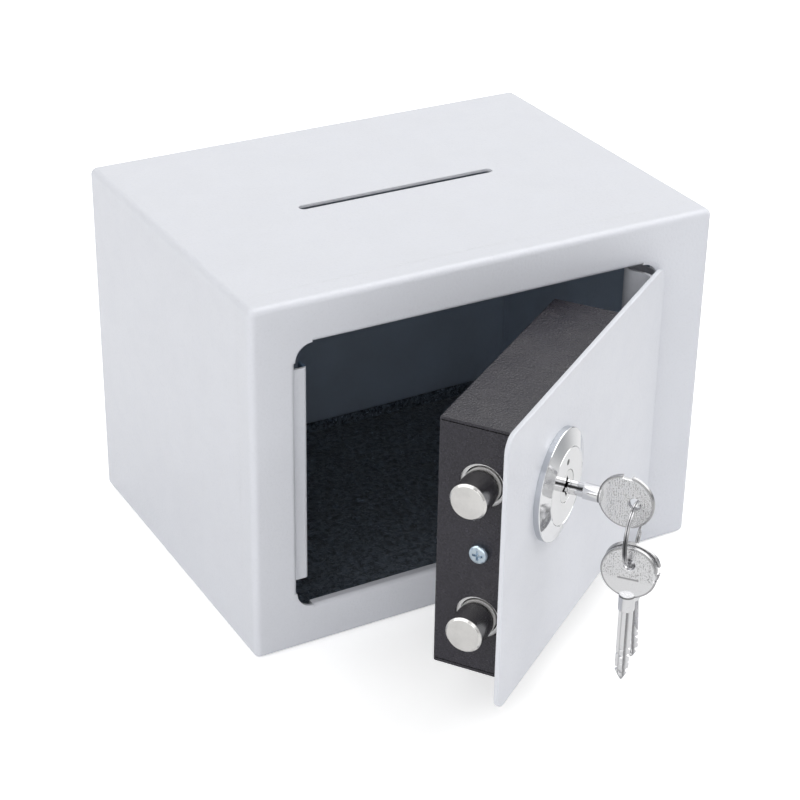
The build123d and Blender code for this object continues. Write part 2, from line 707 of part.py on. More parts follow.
plug_rear_depth = LOCK_BODY_DEPTH + PLUG_CLEARANCE
crank_screw_reach = CRANK_SCREW_FROM_AXIS * sin(radians(45))
crank_screw_places = (
    (lock_x + crank_screw_reach, lock_z + crank_screw_reach),
    (lock_x - crank_screw_reach, lock_z - crank_screw_reach),
)
with BuildPart() as lock_plug:
    with BuildSketch(swung(facing(plug_front_depth))):
        with Locations((lock_x, lock_z)):
            Circle(PLUG_FRONT_RADIUS)
    extrude(amount=-PLUG_FRONT_LENGTH)
    with BuildSketch(swung(facing(plug_step_depth))):
        with Locations((lock_x, lock_z)):
            Circle(PLUG_RADIUS)
    extrude(amount=-(plug_rear_depth - plug_step_depth))
    with BuildSketch(swung(facing(-LOCK_FACE_DEPTH))):
        with Locations((lock_x, lock_z)):
            Polygon(*star_points(KEYWAY_CORNER, KEYWAY_TIP), align=None)
    extrude(amount=-(LOCK_FACE_DEPTH + plug_rear_depth), mode=Mode.SUBTRACT)
    with BuildSketch(swung(facing(plug_rear_depth))):
        with Locations(*crank_screw_places):
            Circle(CRANK_SCREW_RADIUS + THREAD_CLEARANCE)
    extrude(amount=CRANK_SCREW_LENGTH - CRANK_SHEET, mode=Mode.SUBTRACT)
save(lock_plug, "lock_plug")

# Crank on the rear of the plug, with the pin that moves the carrier and a hole for the key's tip
crank_rear_depth = plug_rear_depth + CRANK_SHEET
pin_end_depth = carrier_depth + CARRIER_SHEET + CRANK_PIN_OVERRUN
with BuildPart() as lock_crank:
    with BuildSketch(swung(facing(plug_rear_depth))):
        with Locations((lock_x, lock_z)):
            Circle(CRANK_HUB_RADIUS)
        with Locations((crank_pin_x, crank_pin_z)):
            Circle(CRANK_PIN_RADIUS + CRANK_END_WALL)
        make_hull()
        with Locations((lock_x, lock_z)):
            Circle(CRANK_TIP_HOLE_RADIUS, mode=Mode.SUBTRACT)
        with Locations(*crank_screw_places):
            Circle(CRANK_SCREW_RADIUS + THREAD_CLEARANCE, mode=Mode.SUBTRACT)
    extrude(amount=-CRANK_SHEET)
    with BuildSketch(swung(facing(crank_rear_depth))):
        with Locations((crank_pin_x, crank_pin_z)):
            Circle(CRANK_PIN_RADIUS)
    extrude(amount=-(pin_end_depth - crank_rear_depth))
save(lock_crank, "lock_crank")

crank_screw_solids = [
    build_screw(
        seat_at(screw_x, front_y + crank_rear_depth, screw_z, (0, 1, 0)),
        CRANK_SCREW_HEAD_RADIUS,
        CRANK_SCREW_HEAD_HEIGHT,
        CRANK_SCREW_RADIUS,
        CRANK_SCREW_LENGTH - THREAD_CLEARANCE,
    )
    for screw_x, screw_z in crank_screw_places
]
with BuildPart() as crank_screws:
    add(crank_screw_solids)
save(crank_screws, "crank_screws")

# Bolt carrier: a plate with a slot for each stud and one for the crank pin, and a flange that
# holds the rear ends of the bolts
crank_slot_half_width = CRANK_PIN_RADIUS + CRANK_SLOT_CLEARANCE
crank_pin_rise = CRANK_RADIUS * (1 - cos(radians(CRANK_HALF_TURN)))
stud_slot_half_width = STUD_NECK_RADIUS + CARRIER_GAP
with BuildPart() as bolt_carrier:
    with BuildSketch(swung(facing(carrier_depth))):
        with Locations((carrier_left, opening_middle_z)):
            Rectangle(CARRIER_WIDTH, carrier_height, align=(Align.MIN, Align.CENTER))
        with Locations(*((x - bolt_travel / 2, z) for x, z in stud_places)):
            SlotCenterToCenter(bolt_travel, 2 * stud_slot_half_width, mode=Mode.SUBTRACT)
        with Locations((crank_pin_x, crank_pin_z + crank_pin_rise / 2)):
            SlotCenterToCenter(
                crank_pin_rise, 2 * crank_slot_half_width, rotation=90, mode=Mode.SUBTRACT
            )
    extrude(amount=-CARRIER_SHEET)
    with BuildSketch(swung(upright(carrier_left))):
        with Locations((front_y + carrier_depth, opening_middle_z)):
            Rectangle(CARRIER_FLANGE_REACH, carrier_height, align=(Align.MAX, Align.CENTER))
        with Locations((bolt_y, opening_middle_z)):
            with GridLocations(0, BOLT_SPACING, 1, 2):
                Circle(BOLT_SCREW_RADIUS + SCREW_CLEARANCE, mode=Mode.SUBTRACT)
    extrude(amount=CARRIER_SHEET)
save(bolt_carrier, "bolt_carrier")

for which, bolt_z in zip(("upper", "lower"), bolt_heights):
    with BuildPart() as bolt:
        with BuildSketch(swung(upright(bolt_end_x))):
            with Locations((bolt_y, bolt_z)):
                Circle(BOLT_RADIUS)
        extrude(amount=BOLT_LENGTH)
        chamfer(bolt.faces().sort_by(along_axis)[0].edges(), BOLT_CHAMFER)
        with BuildSketch(swung(upright(bolt_rear_x))):
            with Locations((bolt_y, bolt_z)):
                Circle(BOLT_SCREW_RADIUS + THREAD_CLEARANCE)
        extrude(amount=-(BOLT_SCREW_LENGTH - CARRIER_SHEET), mode=Mode.SUBTRACT)
    save(bolt, f"bolt_{which}")

bolt_screw_solids = [
    build_screw(
        seat_at(bolt_rear_x + CARRIER_SHEET, bolt_y, bolt_z, (1, 0, 0)),
        BOLT_SCREW_HEAD_RADIUS,
        BOLT_SCREW_HEAD_HEIGHT,
        BOLT_SCREW_RADIUS,
        BOLT_SCREW_LENGTH - THREAD_CLEARANCE,
    )
    for bolt_z in bolt_heights
]
with BuildPart() as bolt_screws:
    add(bolt_screw_solids)
save(bolt_screws, "bolt_screws")


# Keys. A key is drawn about the middle of its bow: local x runs to the tip of the blade, local y
# across the bow, and the normal is the bow's
def blade_profile(start):
    """Half outline of the blade along local x from start, with its bit cuts and arrow tip."""
    tip = start + BLADE_LENGTH
    arrow = tip - ARROW_LENGTH
    points = [(start, 0), (start, BLADE_RADIUS + OUTLINE_OVERRUN)]
    for count, depth in enumerate(BIT_DEPTHS):
        cut = arrow - ARROW_NECK_LENGTH - (len(BIT_DEPTHS) - count) * BIT_PITCH
        points.append((cut - depth, BLADE_RADIUS + OUTLINE_OVERRUN))
        points.append((cut, BLADE_RADIUS - depth))
        points.append((cut + depth, BLADE_RADIUS + OUTLINE_OVERRUN))
    points.append((arrow - ARROW_NECK_LENGTH - OUTLINE_OVERRUN, BLADE_RADIUS + OUTLINE_OVERRUN))
    points.append((arrow - ARROW_NECK_LENGTH, ARROW_NECK_RADIUS))
    points.append((arrow - OUTLINE_OVERRUN, ARROW_NECK_RADIUS))
    points.append((arrow, BLADE_RADIUS))
    points.append((tip, BLADE_TIP_RADIUS))
    points.append((tip, 0))
    return points


def build_bow(bow):
    """Flat round head of a key, with a notch in its rim, a hole and broken edges."""
    with BuildPart() as head:
        with BuildSketch(bow):
            Circle(BOW_RADIUS)
            with Locations((0, BOW_RADIUS)):
                Rectangle(BOW_NOTCH_WIDTH, 2 * BOW_NOTCH_DEPTH, mode=Mode.SUBTRACT)
            with Locations((-BOW_HOLE_OFFSET, 0)):
                Circle(BOW_HOLE_RADIUS, mode=Mode.SUBTRACT)
        extrude(amount=BOW_THICKNESS / 2, both=True)
        flats = head.faces().sort_by(Axis(bow.origin, bow.z_dir))
        chamfer(flats[0].edges() + flats[-1].edges(), BOW_EDGE)
    return head.part


def build_key(bow):
    """Cross-blade key on the plane of its bow."""
    head = build_bow(bow)
    blade_start = BOW_RADIUS - COLLAR_OVERLAP + COLLAR_LENGTH
    collar_seat = Plane(
        origin=bow.origin + bow.x_dir * (BOW_RADIUS - COLLAR_OVERLAP), x_dir=bow.y_dir, z_dir=bow.x_dir
    )
    blade_seat = Plane(origin=bow.origin + bow.x_dir * blade_start, x_dir=bow.y_dir, z_dir=bow.x_dir)
    with BuildPart() as key:
        with BuildSketch(blade_seat):
            Rectangle(2 * BLADE_RADIUS, BLADE_WEB)
            Rectangle(BLADE_WEB, 2 * BLADE_RADIUS)
        extrude(amount=BLADE_LENGTH)
        with BuildSketch(bow):
            with BuildLine():
                Polyline(*blade_profile(blade_start), close=True)
            make_face()
        revolve(axis=Axis(bow.origin, bow.x_dir), mode=Mode.INTERSECT)
        with BuildSketch(collar_seat):
            Circle(COLLAR_RADIUS)
        extrude(amount=COLLAR_LENGTH)
        add(head)
    return key


bow_middle = lock_point - door_inward * (
    COLLAR_FROM_DOOR + COLLAR_LENGTH + BOW_RADIUS - COLLAR_OVERLAP
)
save(build_key(Plane(origin=bow_middle, x_dir=door_inward, z_dir=door_along)), "key_in_lock")

# Key ring: it hangs upright from the hole in the bow, its wire heading the ring_heading way there
ring_heading = Vector(cos(radians(RING_HEADING)), sin(radians(RING_HEADING)), 0)
hole_drop = BOW_HOLE_RADIUS - RING_WIRE_RADIUS - RING_CLEARANCE
ring_top = bow_middle - door_inward * BOW_HOLE_OFFSET - Vector(0, 0, hole_drop)
ring_middle = ring_top - Vector(0, 0, RING_RADIUS)
with BuildPart() as key_ring:
    with BuildSketch(Plane(origin=ring_middle, x_dir=(0, 0, 1), z_dir=ring_heading)):
        with Locations((RING_RADIUS, 0)):
            Circle(RING_WIRE_RADIUS)
    revolve(axis=Axis(ring_middle, ring_heading.cross(Vector(0, 0, 1))))
save(key_ring, "key_ring")


# Spare keys, on the lowest part of the ring. offset is along the heading, tilt leans the tip back
def hang_spare(offset, tilt):
    """Plane of the bow of a spare key that hangs on the ring."""
    wire = ring_middle - Vector(0, 0, sqrt(RING_RADIUS**2 - offset**2)) + ring_heading * offset
    lean = radians(tilt)
    down = Vector(0, 0, -cos(lean)) - ring_heading * sin(lean)
    across = ring_heading.cross(Vector(0, 0, 1))
    middle = wire + down * (hole_drop + BOW_HOLE_OFFSET)
    return Plane(origin=middle, x_dir=down, z_dir=across.cross(down))


save(build_key(hang_spare(SPARE_FRONT_OFFSET, 0)), "spare_key_front")
save(build_key(hang_spare(SPARE_REAR_OFFSET, SPARE_REAR_TILT)), "spare_key_rear")

# Places that the record of joints and mounts repeats
print("pivot", round(pivot_x, 3), round(pivot_y, 3))
print("travel", round(bolt_travel, 4), "ratio mm/rad", round(bolt_travel / (pi / 2), 4))
print("lock point", lock_point)
print("ring top", ring_top, "middle", ring_middle)
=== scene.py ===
import logging
import math
from collections.abc import Callable, Iterable, Mapping
from dataclasses import dataclass, field
from enum import Enum
from functools import cached_property, reduce
from typing import Any

import bmesh
import bpy
from mathutils import Matrix, Vector


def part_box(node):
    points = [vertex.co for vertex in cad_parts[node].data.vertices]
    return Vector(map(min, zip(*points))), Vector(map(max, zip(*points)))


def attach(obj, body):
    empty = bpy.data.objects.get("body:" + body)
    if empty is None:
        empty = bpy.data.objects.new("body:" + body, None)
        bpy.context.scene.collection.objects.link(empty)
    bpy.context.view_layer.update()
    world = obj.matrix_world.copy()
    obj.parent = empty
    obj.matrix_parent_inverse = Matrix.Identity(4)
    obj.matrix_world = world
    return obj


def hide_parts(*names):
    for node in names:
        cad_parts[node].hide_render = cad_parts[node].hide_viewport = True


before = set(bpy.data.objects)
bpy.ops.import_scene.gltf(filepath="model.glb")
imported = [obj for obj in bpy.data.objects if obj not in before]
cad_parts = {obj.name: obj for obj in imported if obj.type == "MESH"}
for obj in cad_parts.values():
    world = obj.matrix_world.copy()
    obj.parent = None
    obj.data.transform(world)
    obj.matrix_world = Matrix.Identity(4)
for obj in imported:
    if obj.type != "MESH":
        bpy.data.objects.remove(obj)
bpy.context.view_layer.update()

LOG = logging.getLogger("deposit_safe")
MM = 0.001

Colour = tuple[float, float, float]
Point = tuple[float, float, float]
Socket = bpy.types.NodeSocket


class Body(Enum):
    """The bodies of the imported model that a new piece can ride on."""

    CASE = "root"
    RING = "ring"


class Slot(Enum):
    """Names of two material slots for new pieces; nothing in the script uses them."""

    FELT = "felt"
    CHROME = "chrome"


class Ray(Enum):
    """Outputs of the Light Path node, for what only some rays see."""

    CAMERA = "Is Camera Ray"
    GLOSSY = "Is Glossy Ray"
    TRANSMISSION = "Is Transmission Ray"


@dataclass(frozen=True)
class Swing:
    """Turn of the open door about its pins, from the sizes of the solid model."""

    pivot_x: float = 93.6 * MM
    pivot_y: float = -79.5 * MM
    recess: float = 1.2 * MM
    degrees: float = 35.3

    @property
    def along(self) -> Vector:
        """Direction across the open door, from its free edge to its pins."""
        turn = math.radians(self.degrees)
        return Vector((math.cos(turn), math.sin(turn), 0.0))

    @property
    def inward(self) -> Vector:
        """Direction square to the open door, from its face to its cover."""
        turn = math.radians(self.degrees)
        return Vector((-math.sin(turn), math.cos(turn), 0.0))

    def place(self, x: float, y: float, z: float) -> Vector:
        """Move a point of the door to where the open door has it.

        Args:
            x: Place to the right when the door is shut, in metres.
            y: Place to the back, with the door's face in the plane of the case's front, in metres.
            z: Height, in metres.

        Returns:
            The same point on the open door.
        """
        pivot = Vector((self.pivot_x, self.pivot_y, 0.0))
        turn = Matrix.Rotation(math.radians(self.degrees), 3, "Z")
        return pivot + turn @ (Vector((x, y + self.recess, z)) - pivot)


class Graph:
    """A node tree while it is wired: it makes nodes, sets their inputs and links them."""

    def __init__(self, tree: bpy.types.NodeTree) -> None:
        """Keep the tree that the nodes go into."""
        self.tree = tree

    def feed(self, socket: Socket, value: Any) -> None:
        """Link a socket's source, or set its value.

        Args:
            socket: The input to feed.
            value: Another node's output, or a plain value.
        """
        if isinstance(value, bpy.types.NodeSocket):
            self.tree.links.new(value, socket)
        elif socket.type == "RGBA" and len(value) == 3:
            socket.default_value = (*value, 1.0)
        else:
            socket.default_value = value

    def add(
        self, kind: str, inputs: Mapping[str | int, Any] | None = None, **settings: Any
    ) -> bpy.types.Node:
        """Make a node.

        Args:
            kind: The node's type, without its leading Shader.
            inputs: Values or sources by input name or number.
            **settings: Attributes of the node.

        Returns:
            The new node.
        """
        node = self.tree.nodes.new(kind if kind.startswith("NodeGroup") else f"Shader{kind}")
        for name, value in settings.items():
            setattr(node, name, value)
        self.give(node, inputs or {})
        return node

    def give(self, node: bpy.types.Node, inputs: Mapping[str | int, Any]) -> None:
        """Feed inputs of a node, by name or number."""
        for name, value in inputs.items():
            self.feed(node.inputs[name], value)

    def math(self, operation: str, first: Any, second: Any = 0.0, clamp: bool = False) -> Socket:
        """Output of a Math node.

        Args:
            operation: The node's operation.
            first: First value or source.
            second: Second value or source.
            clamp: Whether the result stays between 0 and 1.

        Returns:
            The result's socket.
        """
        return self.add("NodeMath", {0: first, 1: second}, operation=operation, use_clamp=clamp).outputs[0]

    def times(self, first: Any, second: Any, clamp: bool = False) -> Socket:
        """Product of two values or sources."""
        return self.math("MULTIPLY", first, second, clamp)

    def least(self, sources: Iterable[Any]) -> Socket:
        """The least of several values or sources."""
        return reduce(lambda first, second: self.math("MINIMUM", first, second), sources)

    def most(self, sources: Iterable[Any]) -> Socket:
        """The greatest of several values or sources."""
        return reduce(lambda first, second: self.math("MAXIMUM", first, second), sources)

    def vector(self, operation: str, first: Any, second: Any = (0.0, 0.0, 0.0)) -> bpy.types.Node:
        """Vector Math node with two inputs, whose outputs are Vector and Value."""
        return self.add("NodeVectorMath", {0: first, 1: second}, operation=operation)

    def scaled(self, vector: Socket, factor: float | Socket) -> Socket:
        """The vector times a number or a source."""
        return self.add("NodeVectorMath", {0: vector, "Scale": factor}, operation="SCALE").outputs[0]

    def span(self, value: Any, low: float, high: float, to_low: float = 0.0, to_high: float = 1.0) -> Socket:
        """Carry a value smoothly from one range to another.

        Args:
            value: The value or source.
            low: Where the source range starts.
            high: Where the source range ends.
            to_low: Result at its start.
            to_high: Result at its end.

        Returns:
            The result's socket.
        """
        inputs = {"Value": value, "From Min": low, "From Max": high, "To Min": to_low, "To Max": to_high}
        return self.add("NodeMapRange", inputs, interpolation_type="SMOOTHSTEP").outputs[0]

    def blend(self, share: Any, first: Any, second: Any) -> Socket:
        """Colour between two, first at share 0 and second at share 1."""
        return self.add("NodeMix", {0: share, 6: first, 7: second}, data_type="RGBA").outputs[2]

    def noise(self, vector: Socket, detail: float = 2.0, roughness: float = 0.5) -> Socket:
        """Height of a noise whose cells are one unit of the vector."""
        inputs = {"Vector": vector, "Scale": 1.0, "Detail": detail, "Roughness": roughness}
        return self.add("NodeTexNoise", inputs).outputs[0]

    def here(self) -> Socket:
        """The surface's place in its own frame, in metres."""
        return self.add("NodeTexCoord").outputs["Object"]

    def use(self, effect: bpy.types.NodeTree, **inputs: Any) -> bpy.types.Node:
        """Place a shared effect.

        Args:
            effect: The node group.
            **inputs: Values or sources, by input name with _ for a space.

        Returns:
            The group's node.
        """
        node = self.tree.nodes.new("ShaderNodeGroup")
        node.node_tree = effect
        for name, value in inputs.items():
            self.feed(node.inputs[name.replace("_", " ").capitalize()], value)
        return node


class Effects:
    """Shared surface effects, each a node group that is built when it is first used."""

    @staticmethod
    def _open(
        name: str, takes: Mapping[str, str], gives: Mapping[str, str]
    ) -> tuple[Graph, dict[str, Socket], bpy.types.Node]:
        """Start a node group.

        Args:
            name: The group's name.
            takes: Kind of each input, by name.
            gives: Kind of each output, by name.

        Returns:
            The group's graph, its inputs inside the group by name, and its output node.
        """
        tree = bpy.data.node_groups.new(name, "ShaderNodeTree")
        for way, sockets in (("INPUT", takes), ("OUTPUT", gives)):
            for label, kind in sockets.items():
                tree.interface.new_socket(name=label, in_out=way, socket_type=f"NodeSocket{kind}")
        graph = Graph(tree)
        inside = graph.add("NodeGroupInput")
        return graph, {label: inside.outputs[label] for label in takes}, graph.add("NodeGroupOutput")

    @cached_property
    def orange_peel(self) -> bpy.types.NodeTree:
        """Skin of sprayed and baked paint: Height of its dimples, and Tone, a slow drift."""
        graph, taken, end = self._open(
            "orange_peel", {"Place": "Vector", "Cell": "Float"}, {"Height": "Float", "Tone": "Float"}
        )
        per_cell = graph.math("DIVIDE", 1.0, taken["Cell"])
        cells = graph.scaled(taken["Place"], per_cell)
        coarse = graph.noise(cells, 1.5, 0.45)
        fine = graph.noise(graph.scaled(cells, 2.7), 1.0, 0.4)
        height = graph.math("ADD", graph.times(coarse, 0.72), graph.times(fine, 0.28))
        graph.feed(end.inputs["Height"], graph.span(height, 0.3, 0.7))
        graph.feed(end.inputs["Tone"], graph.span(graph.noise(graph.scaled(cells, 0.045), 3.0), 0.3, 0.7))
        return graph.tree

    @cached_property
    def rounded_edges(self) -> bpy.types.NodeTree:
        """Rounded edges: Normal is softened over them, and Mask is highest on their crest."""
        graph, taken, end = self._open(
            "rounded_edges",
            {"Place": "Vector", "Radius": "Float", "Reach": "Float"},
            {"Mask": "Float", "Normal": "Vector"},
        )
        rounded = graph.add("NodeBevel", {"Radius": taken["Radius"]}, samples=6).outputs[0]
        flat = graph.add("NodeNewGeometry").outputs["Normal"]
        turned = graph.math("SUBTRACT", 1.0, graph.vector("DOT_PRODUCT", rounded, flat).outputs["Value"])
        broken = graph.span(graph.noise(graph.scaled(taken["Place"], 900.0), 3.0), 0.25, 0.75, 0.55, 1.0)
        mask = graph.times(graph.times(turned, taken["Reach"], clamp=True), broken)
        graph.give(end, {"Mask": mask, "Normal": rounded})
        return graph.tree

    @cached_property
    def dust(self) -> bpy.types.NodeTree:
        """Fine dust that lies on what faces up: Mask is how much of it."""
        graph, taken, end = self._open("dust", {"Place": "Vector", "Amount": "Float"}, {"Mask": "Float"})
        normal = graph.add("NodeNewGeometry").outputs["Normal"]
        upward = graph.span(graph.vector("DOT_PRODUCT", normal, (0.0, 0.0, 1.0)).outputs["Value"], 0.55, 0.95)
        drift = graph.span(graph.noise(graph.scaled(taken["Place"], 60.0), 4.0, 0.65), 0.35, 0.75)
        speck = graph.span(graph.noise(graph.scaled(taken["Place"], 2400.0), 1.0), 0.62, 0.75)
        spread = graph.math("ADD", graph.times(drift, 0.6), graph.times(speck, 0.4))
        lying = graph.times(upward, spread)
        graph.feed(end.inputs["Mask"], graph.times(lying, taken["Amount"], clamp=True))
        return graph.tree

    @cached_property
    def handling(self) -> bpy.types.NodeTree:
        """Light marks: Haze in soft patches, and Scratches in fine lines."""
        graph, taken, end = self._open(
            "handling", {"Place": "Vector"}, {"Haze": "Float", "Scratches": "Float"}
        )
        haze = graph.span(graph.noise(graph.scaled(taken["Place"], 95.0), 4.0, 0.6), 0.35, 0.7)
        lines = []
        for heading in ((1.0, 0.35, 0.2), (-0.4, 1.0, 0.55), (0.2, -0.5, 1.0)):
            crossed = graph.vector("CROSS_PRODUCT", taken["Place"], Vector(heading).normalized()).outputs[0]
            stretched = graph.vector("MULTIPLY", crossed, (2600.0, 2600.0, 130.0)).outputs[0]
            lines.append(graph.span(graph.noise(stretched, 1.0), 0.7, 0.78))
        graph.give(end, {"Haze": haze, "Scratches": graph.most(lines)})
        return graph.tree

    @cached_property
    def turned_marks(self) -> bpy.types.NodeTree:
        """Marks of a lathe about an axis: Height of the rings, and Radius from the axis in mm."""
        graph, taken, end = self._open(
            "turned_marks",
            {"Place": "Vector", "Centre": "Vector", "Axis": "Vector", "Pitch": "Float"},
            {"Height": "Float", "Radius": "Float"},
        )
        arm = graph.vector("SUBTRACT", taken["Place"], taken["Centre"]).outputs[0]
        reach = graph.vector("LENGTH", graph.vector("CROSS_PRODUCT", arm, taken["Axis"]).outputs[0])
        radius = graph.times(reach.outputs["Value"], 1000.0)
        uneven = graph.times(graph.noise(graph.scaled(taken["Place"], 300.0), 2.0), 0.5)
        rings = graph.math("DIVIDE", graph.math("ADD", radius, uneven), taken["Pitch"])
        wave = graph.math("SINE", graph.times(rings, 2 * math.pi))
        graph.give(end, {"Height": graph.math("MULTIPLY_ADD", wave, 0.5), "Radius": radius})
        return graph.tree

    @cached_property
    def pebbles(self) -> bpy.types.NodeTree:
        """Close round pips: Height of the pips, and Pits between them."""
        graph, taken, end = self._open(
            "pebbles", {"Place": "Vector", "Cell": "Float"}, {"Height": "Float", "Pits": "Float"}
        )
        per_cell = graph.math("DIVIDE", 1.0, taken["Cell"])
        cells = graph.scaled(taken["Place"], per_cell)
        pips = graph.add("NodeTexVoronoi", {"Vector": cells, "Scale": 1.0, "Randomness": 0.6})
        near = pips.outputs["Distance"]
        graph.give(end, {"Height": graph.span(near, 0.1, 0.75, 1.0, 0.0)})
        graph.give(end, {"Pits": graph.span(near, 0.5, 0.8)})
        return graph.tree

    @cached_property
    def inside_box(self) -> bpy.types.NodeTree:
        """Mask of what lies in a box, with a soft border."""
        graph, taken, end = self._open(
            "inside_box", {"Place": "Vector", "Low": "Vector", "High": "Vector"}, {"Mask": "Float"}
        )
        gaps = []
        for first, second in ((taken["Place"], taken["Low"]), (taken["High"], taken["Place"])):
            gap = graph.vector("SUBTRACT", first, second).outputs[0]
            apart = graph.add("NodeSeparateXYZ", {0: gap})
            gaps.extend(apart.outputs)
        border = 0.15 * MM
        graph.give(end, {"Mask": graph.span(graph.least(gaps), -border, border)})
        return graph.tree

    @cached_property
    def felt_fibres(self) -> bpy.types.NodeTree:
        """Pressed fibres: Height of their lie, Tone of their clumps, and Pale, the light ones."""
        graph, taken, end = self._open(
            "felt_fibres", {"Place": "Vector"}, {"Height": "Float", "Tone": "Float", "Pale": "Float"}
        )
        bend = graph.add("NodeTexNoise", {"Vector": taken["Place"], "Scale": 160.0, "Detail": 2.0})
        bent = graph.vector("ADD", taken["Place"], graph.scaled(bend.outputs["Color"], 0.006)).outputs[0]
        lies = [
            graph.noise(graph.vector("MULTIPLY", bent, stretch).outputs[0], 3.0, 0.6)
            for stretch in ((2600.0, 420.0, 900.0), (380.0, 2300.0, 900.0))
        ]
        lie = graph.most(lies)
        clumps = graph.noise(graph.scaled(bent, 380.0), 5.0, 0.7)
        graph.give(end, {"Height": graph.math("ADD", lie, graph.times(clumps, 0.8))})
        graph.give(end, {"Tone": graph.span(clumps, 0.36, 0.66), "Pale": graph.span(lie, 0.6, 0.74)})
        return graph.tree


EFFECTS = Effects()


def toned(colour: Colour, factor: float) -> Colour:
    """A colour with each part times a factor."""
    return tuple(factor * part for part in colour)


def start_material(name: str) -> tuple[bpy.types.Material, Graph, bpy.types.Node]:
    """Make a material with a Principled BSDF linked to its output.

    Args:
        name: The material's name.

    Returns:
        The material, its graph and its shader node.
    """
    material = bpy.data.materials.new(name)
    material.use_nodes = True
    material.node_tree.nodes.clear()
    graph = Graph(material.node_tree)
    shader = graph.add("NodeBsdfPrincipled")
    graph.add("NodeOutputMaterial", {"Surface": shader.outputs[0]})
    return material, graph, shader


def bumped(graph: Graph, height: Socket, depth: float, base: Socket) -> Socket:
    """Normal of a surface with small relief.

    Args:
        graph: The material's graph.
        height: The relief, from 0 to 1.
        depth: What 1 stands for, in metres.
        base: The normal below the relief.

    Returns:
        The new normal's socket.
    """
    inputs = {"Strength": 1.0, "Distance": depth, "Height": height, "Normal": base}
    return graph.add("NodeBump", inputs).outputs[0]


class Finish:
    """A surface finish, built as a material of its own."""

    name: str

    def material(self) -> bpy.types.Material:
        """Build the finish.

        Returns:
            The material.
        """
        made, graph, shader = start_material(self.name)
        self.wire(graph, shader, graph.here())
        return made

    def wire(self, graph: Graph, shader: bpy.types.Node, here: Socket) -> None:
        """Wire the shader.

        Args:
            graph: The material's graph.
            shader: Its shader node.
            here: The surface's place in its own frame.
        """
        raise NotImplementedError


@dataclass(frozen=True)
class ShadedInside:
    """Box of the case's hollow, where a dark blue-grey painted shade takes the place of the pale paint."""

    low: Point = (-113.55 * MM, -80.3 * MM, 1.45 * MM)
    high: Point = (113.55 * MM, 83.55 * MM, 168.55 * MM)
    colour: Colour = (0.153, 0.233, 0.342)


@dataclass(frozen=True)
class PowderCoat(Finish):
    """Baked paint of the case, door and brackets, pale and slightly dimpled."""

    name: str
    colour: Colour = (0.755, 0.771, 0.822)
    cell: float = 1.35 * MM
    depth: float = 0.055 * MM
    roughness: float = 0.36
    inside: ShadedInside | None = None

    def wire(self, graph: Graph, shader: bpy.types.Node, here: Socket) -> None:
        """Wire the paint."""
        peel = graph.use(EFFECTS.orange_peel, place=here, cell=self.cell)
        edge = graph.use(EFFECTS.rounded_edges, place=here, radius=0.55 * MM, reach=2.5)
        marks = graph.use(EFFECTS.handling, place=here)
        dust = graph.use(EFFECTS.dust, place=here, amount=0.06)
        shade = toned(self.colour, 0.985)
        colour = graph.blend(peel.outputs["Tone"], shade, self.colour)
        # Painted shade: the low parts of the dimples are darkened.
        dimple_shade = graph.span(peel.outputs["Height"], 0.0, 0.35, 0.12, 0.0)
        colour = graph.blend(dimple_shade, colour, toned(self.colour, 0.8))
        # Painted highlight: the crest of rounded edges is lightened.
        colour = graph.blend(graph.times(edge.outputs["Mask"], 0.5), colour, (0.86, 0.87, 0.89))
        if self.inside:
            # Painted shade: inside the case's hollow the pale paint gives way to dark blue-grey.
            zone = graph.use(EFFECTS.inside_box, place=here, low=self.inside.low, high=self.inside.high)
            deep = toned(self.inside.colour, 0.82)
            painted_shade = graph.blend(peel.outputs["Tone"], deep, self.inside.colour)
            colour = graph.blend(zone.outputs["Mask"], colour, painted_shade)
        colour = graph.blend(dust.outputs["Mask"], colour, (0.62, 0.6, 0.57))
        rough = graph.span(marks.outputs["Haze"], 0.0, 1.0, self.roughness - 0.04, self.roughness + 0.07)
        skin = bumped(graph, peel.outputs["Height"], self.depth, edge.outputs["Normal"])
        graph.give(shader, {"Base Color": colour, "Roughness": rough, "Normal": skin})
        graph.give(shader, {"Coat Weight": 0.12, "Coat Roughness": 0.16})


@dataclass(frozen=True)
class WrinkleCoat(Finish):
    """Brown-black hammered paint of the mechanism cover."""

    name: str
    colour: Colour = (0.0195, 0.018, 0.025)
    cell: float = 0.95 * MM
    depth: float = 0.19 * MM
    roughness: float = 0.23
    gloss: float = 0.38

    def wire(self, graph: Graph, shader: bpy.types.Node, here: Socket) -> None:
        """Wire the paint."""
        peel = graph.use(EFFECTS.orange_peel, place=here, cell=self.cell)
        edge = graph.use(EFFECTS.rounded_edges, place=here, radius=0.4 * MM, reach=3.0)
        marks = graph.use(EFFECTS.handling, place=here)
        dust = graph.use(EFFECTS.dust, place=here, amount=0.09)
        # Painted highlight and shade: the wrinkle's crests are lighter than its hollows.
        crest_highlight = toned(self.colour, 1.5)
        colour = graph.blend(graph.span(peel.outputs["Height"], 0.3, 0.95), self.colour, crest_highlight)
        # The crest of rounded edges is made lighter, towards brown-grey.
        edge_crest = graph.times(edge.outputs["Mask"], 0.25)
        colour = graph.blend(edge_crest, colour, (0.12, 0.115, 0.11))
        scratched = graph.times(marks.outputs["Scratches"], 0.05)
        colour = graph.blend(scratched, colour, (0.2, 0.19, 0.18))
        colour = graph.blend(dust.outputs["Mask"], colour, (0.3, 0.28, 0.26))
        rough = graph.span(marks.outputs["Haze"], 0.0, 1.0, self.roughness - 0.03, self.roughness + 0.08)
        skin = bumped(graph, peel.outputs["Height"], self.depth, edge.outputs["Normal"])
        graph.give(shader, {"Base Color": colour, "Roughness": rough, "Normal": skin})
        graph.give(shader, {"Specular IOR Level": self.gloss})


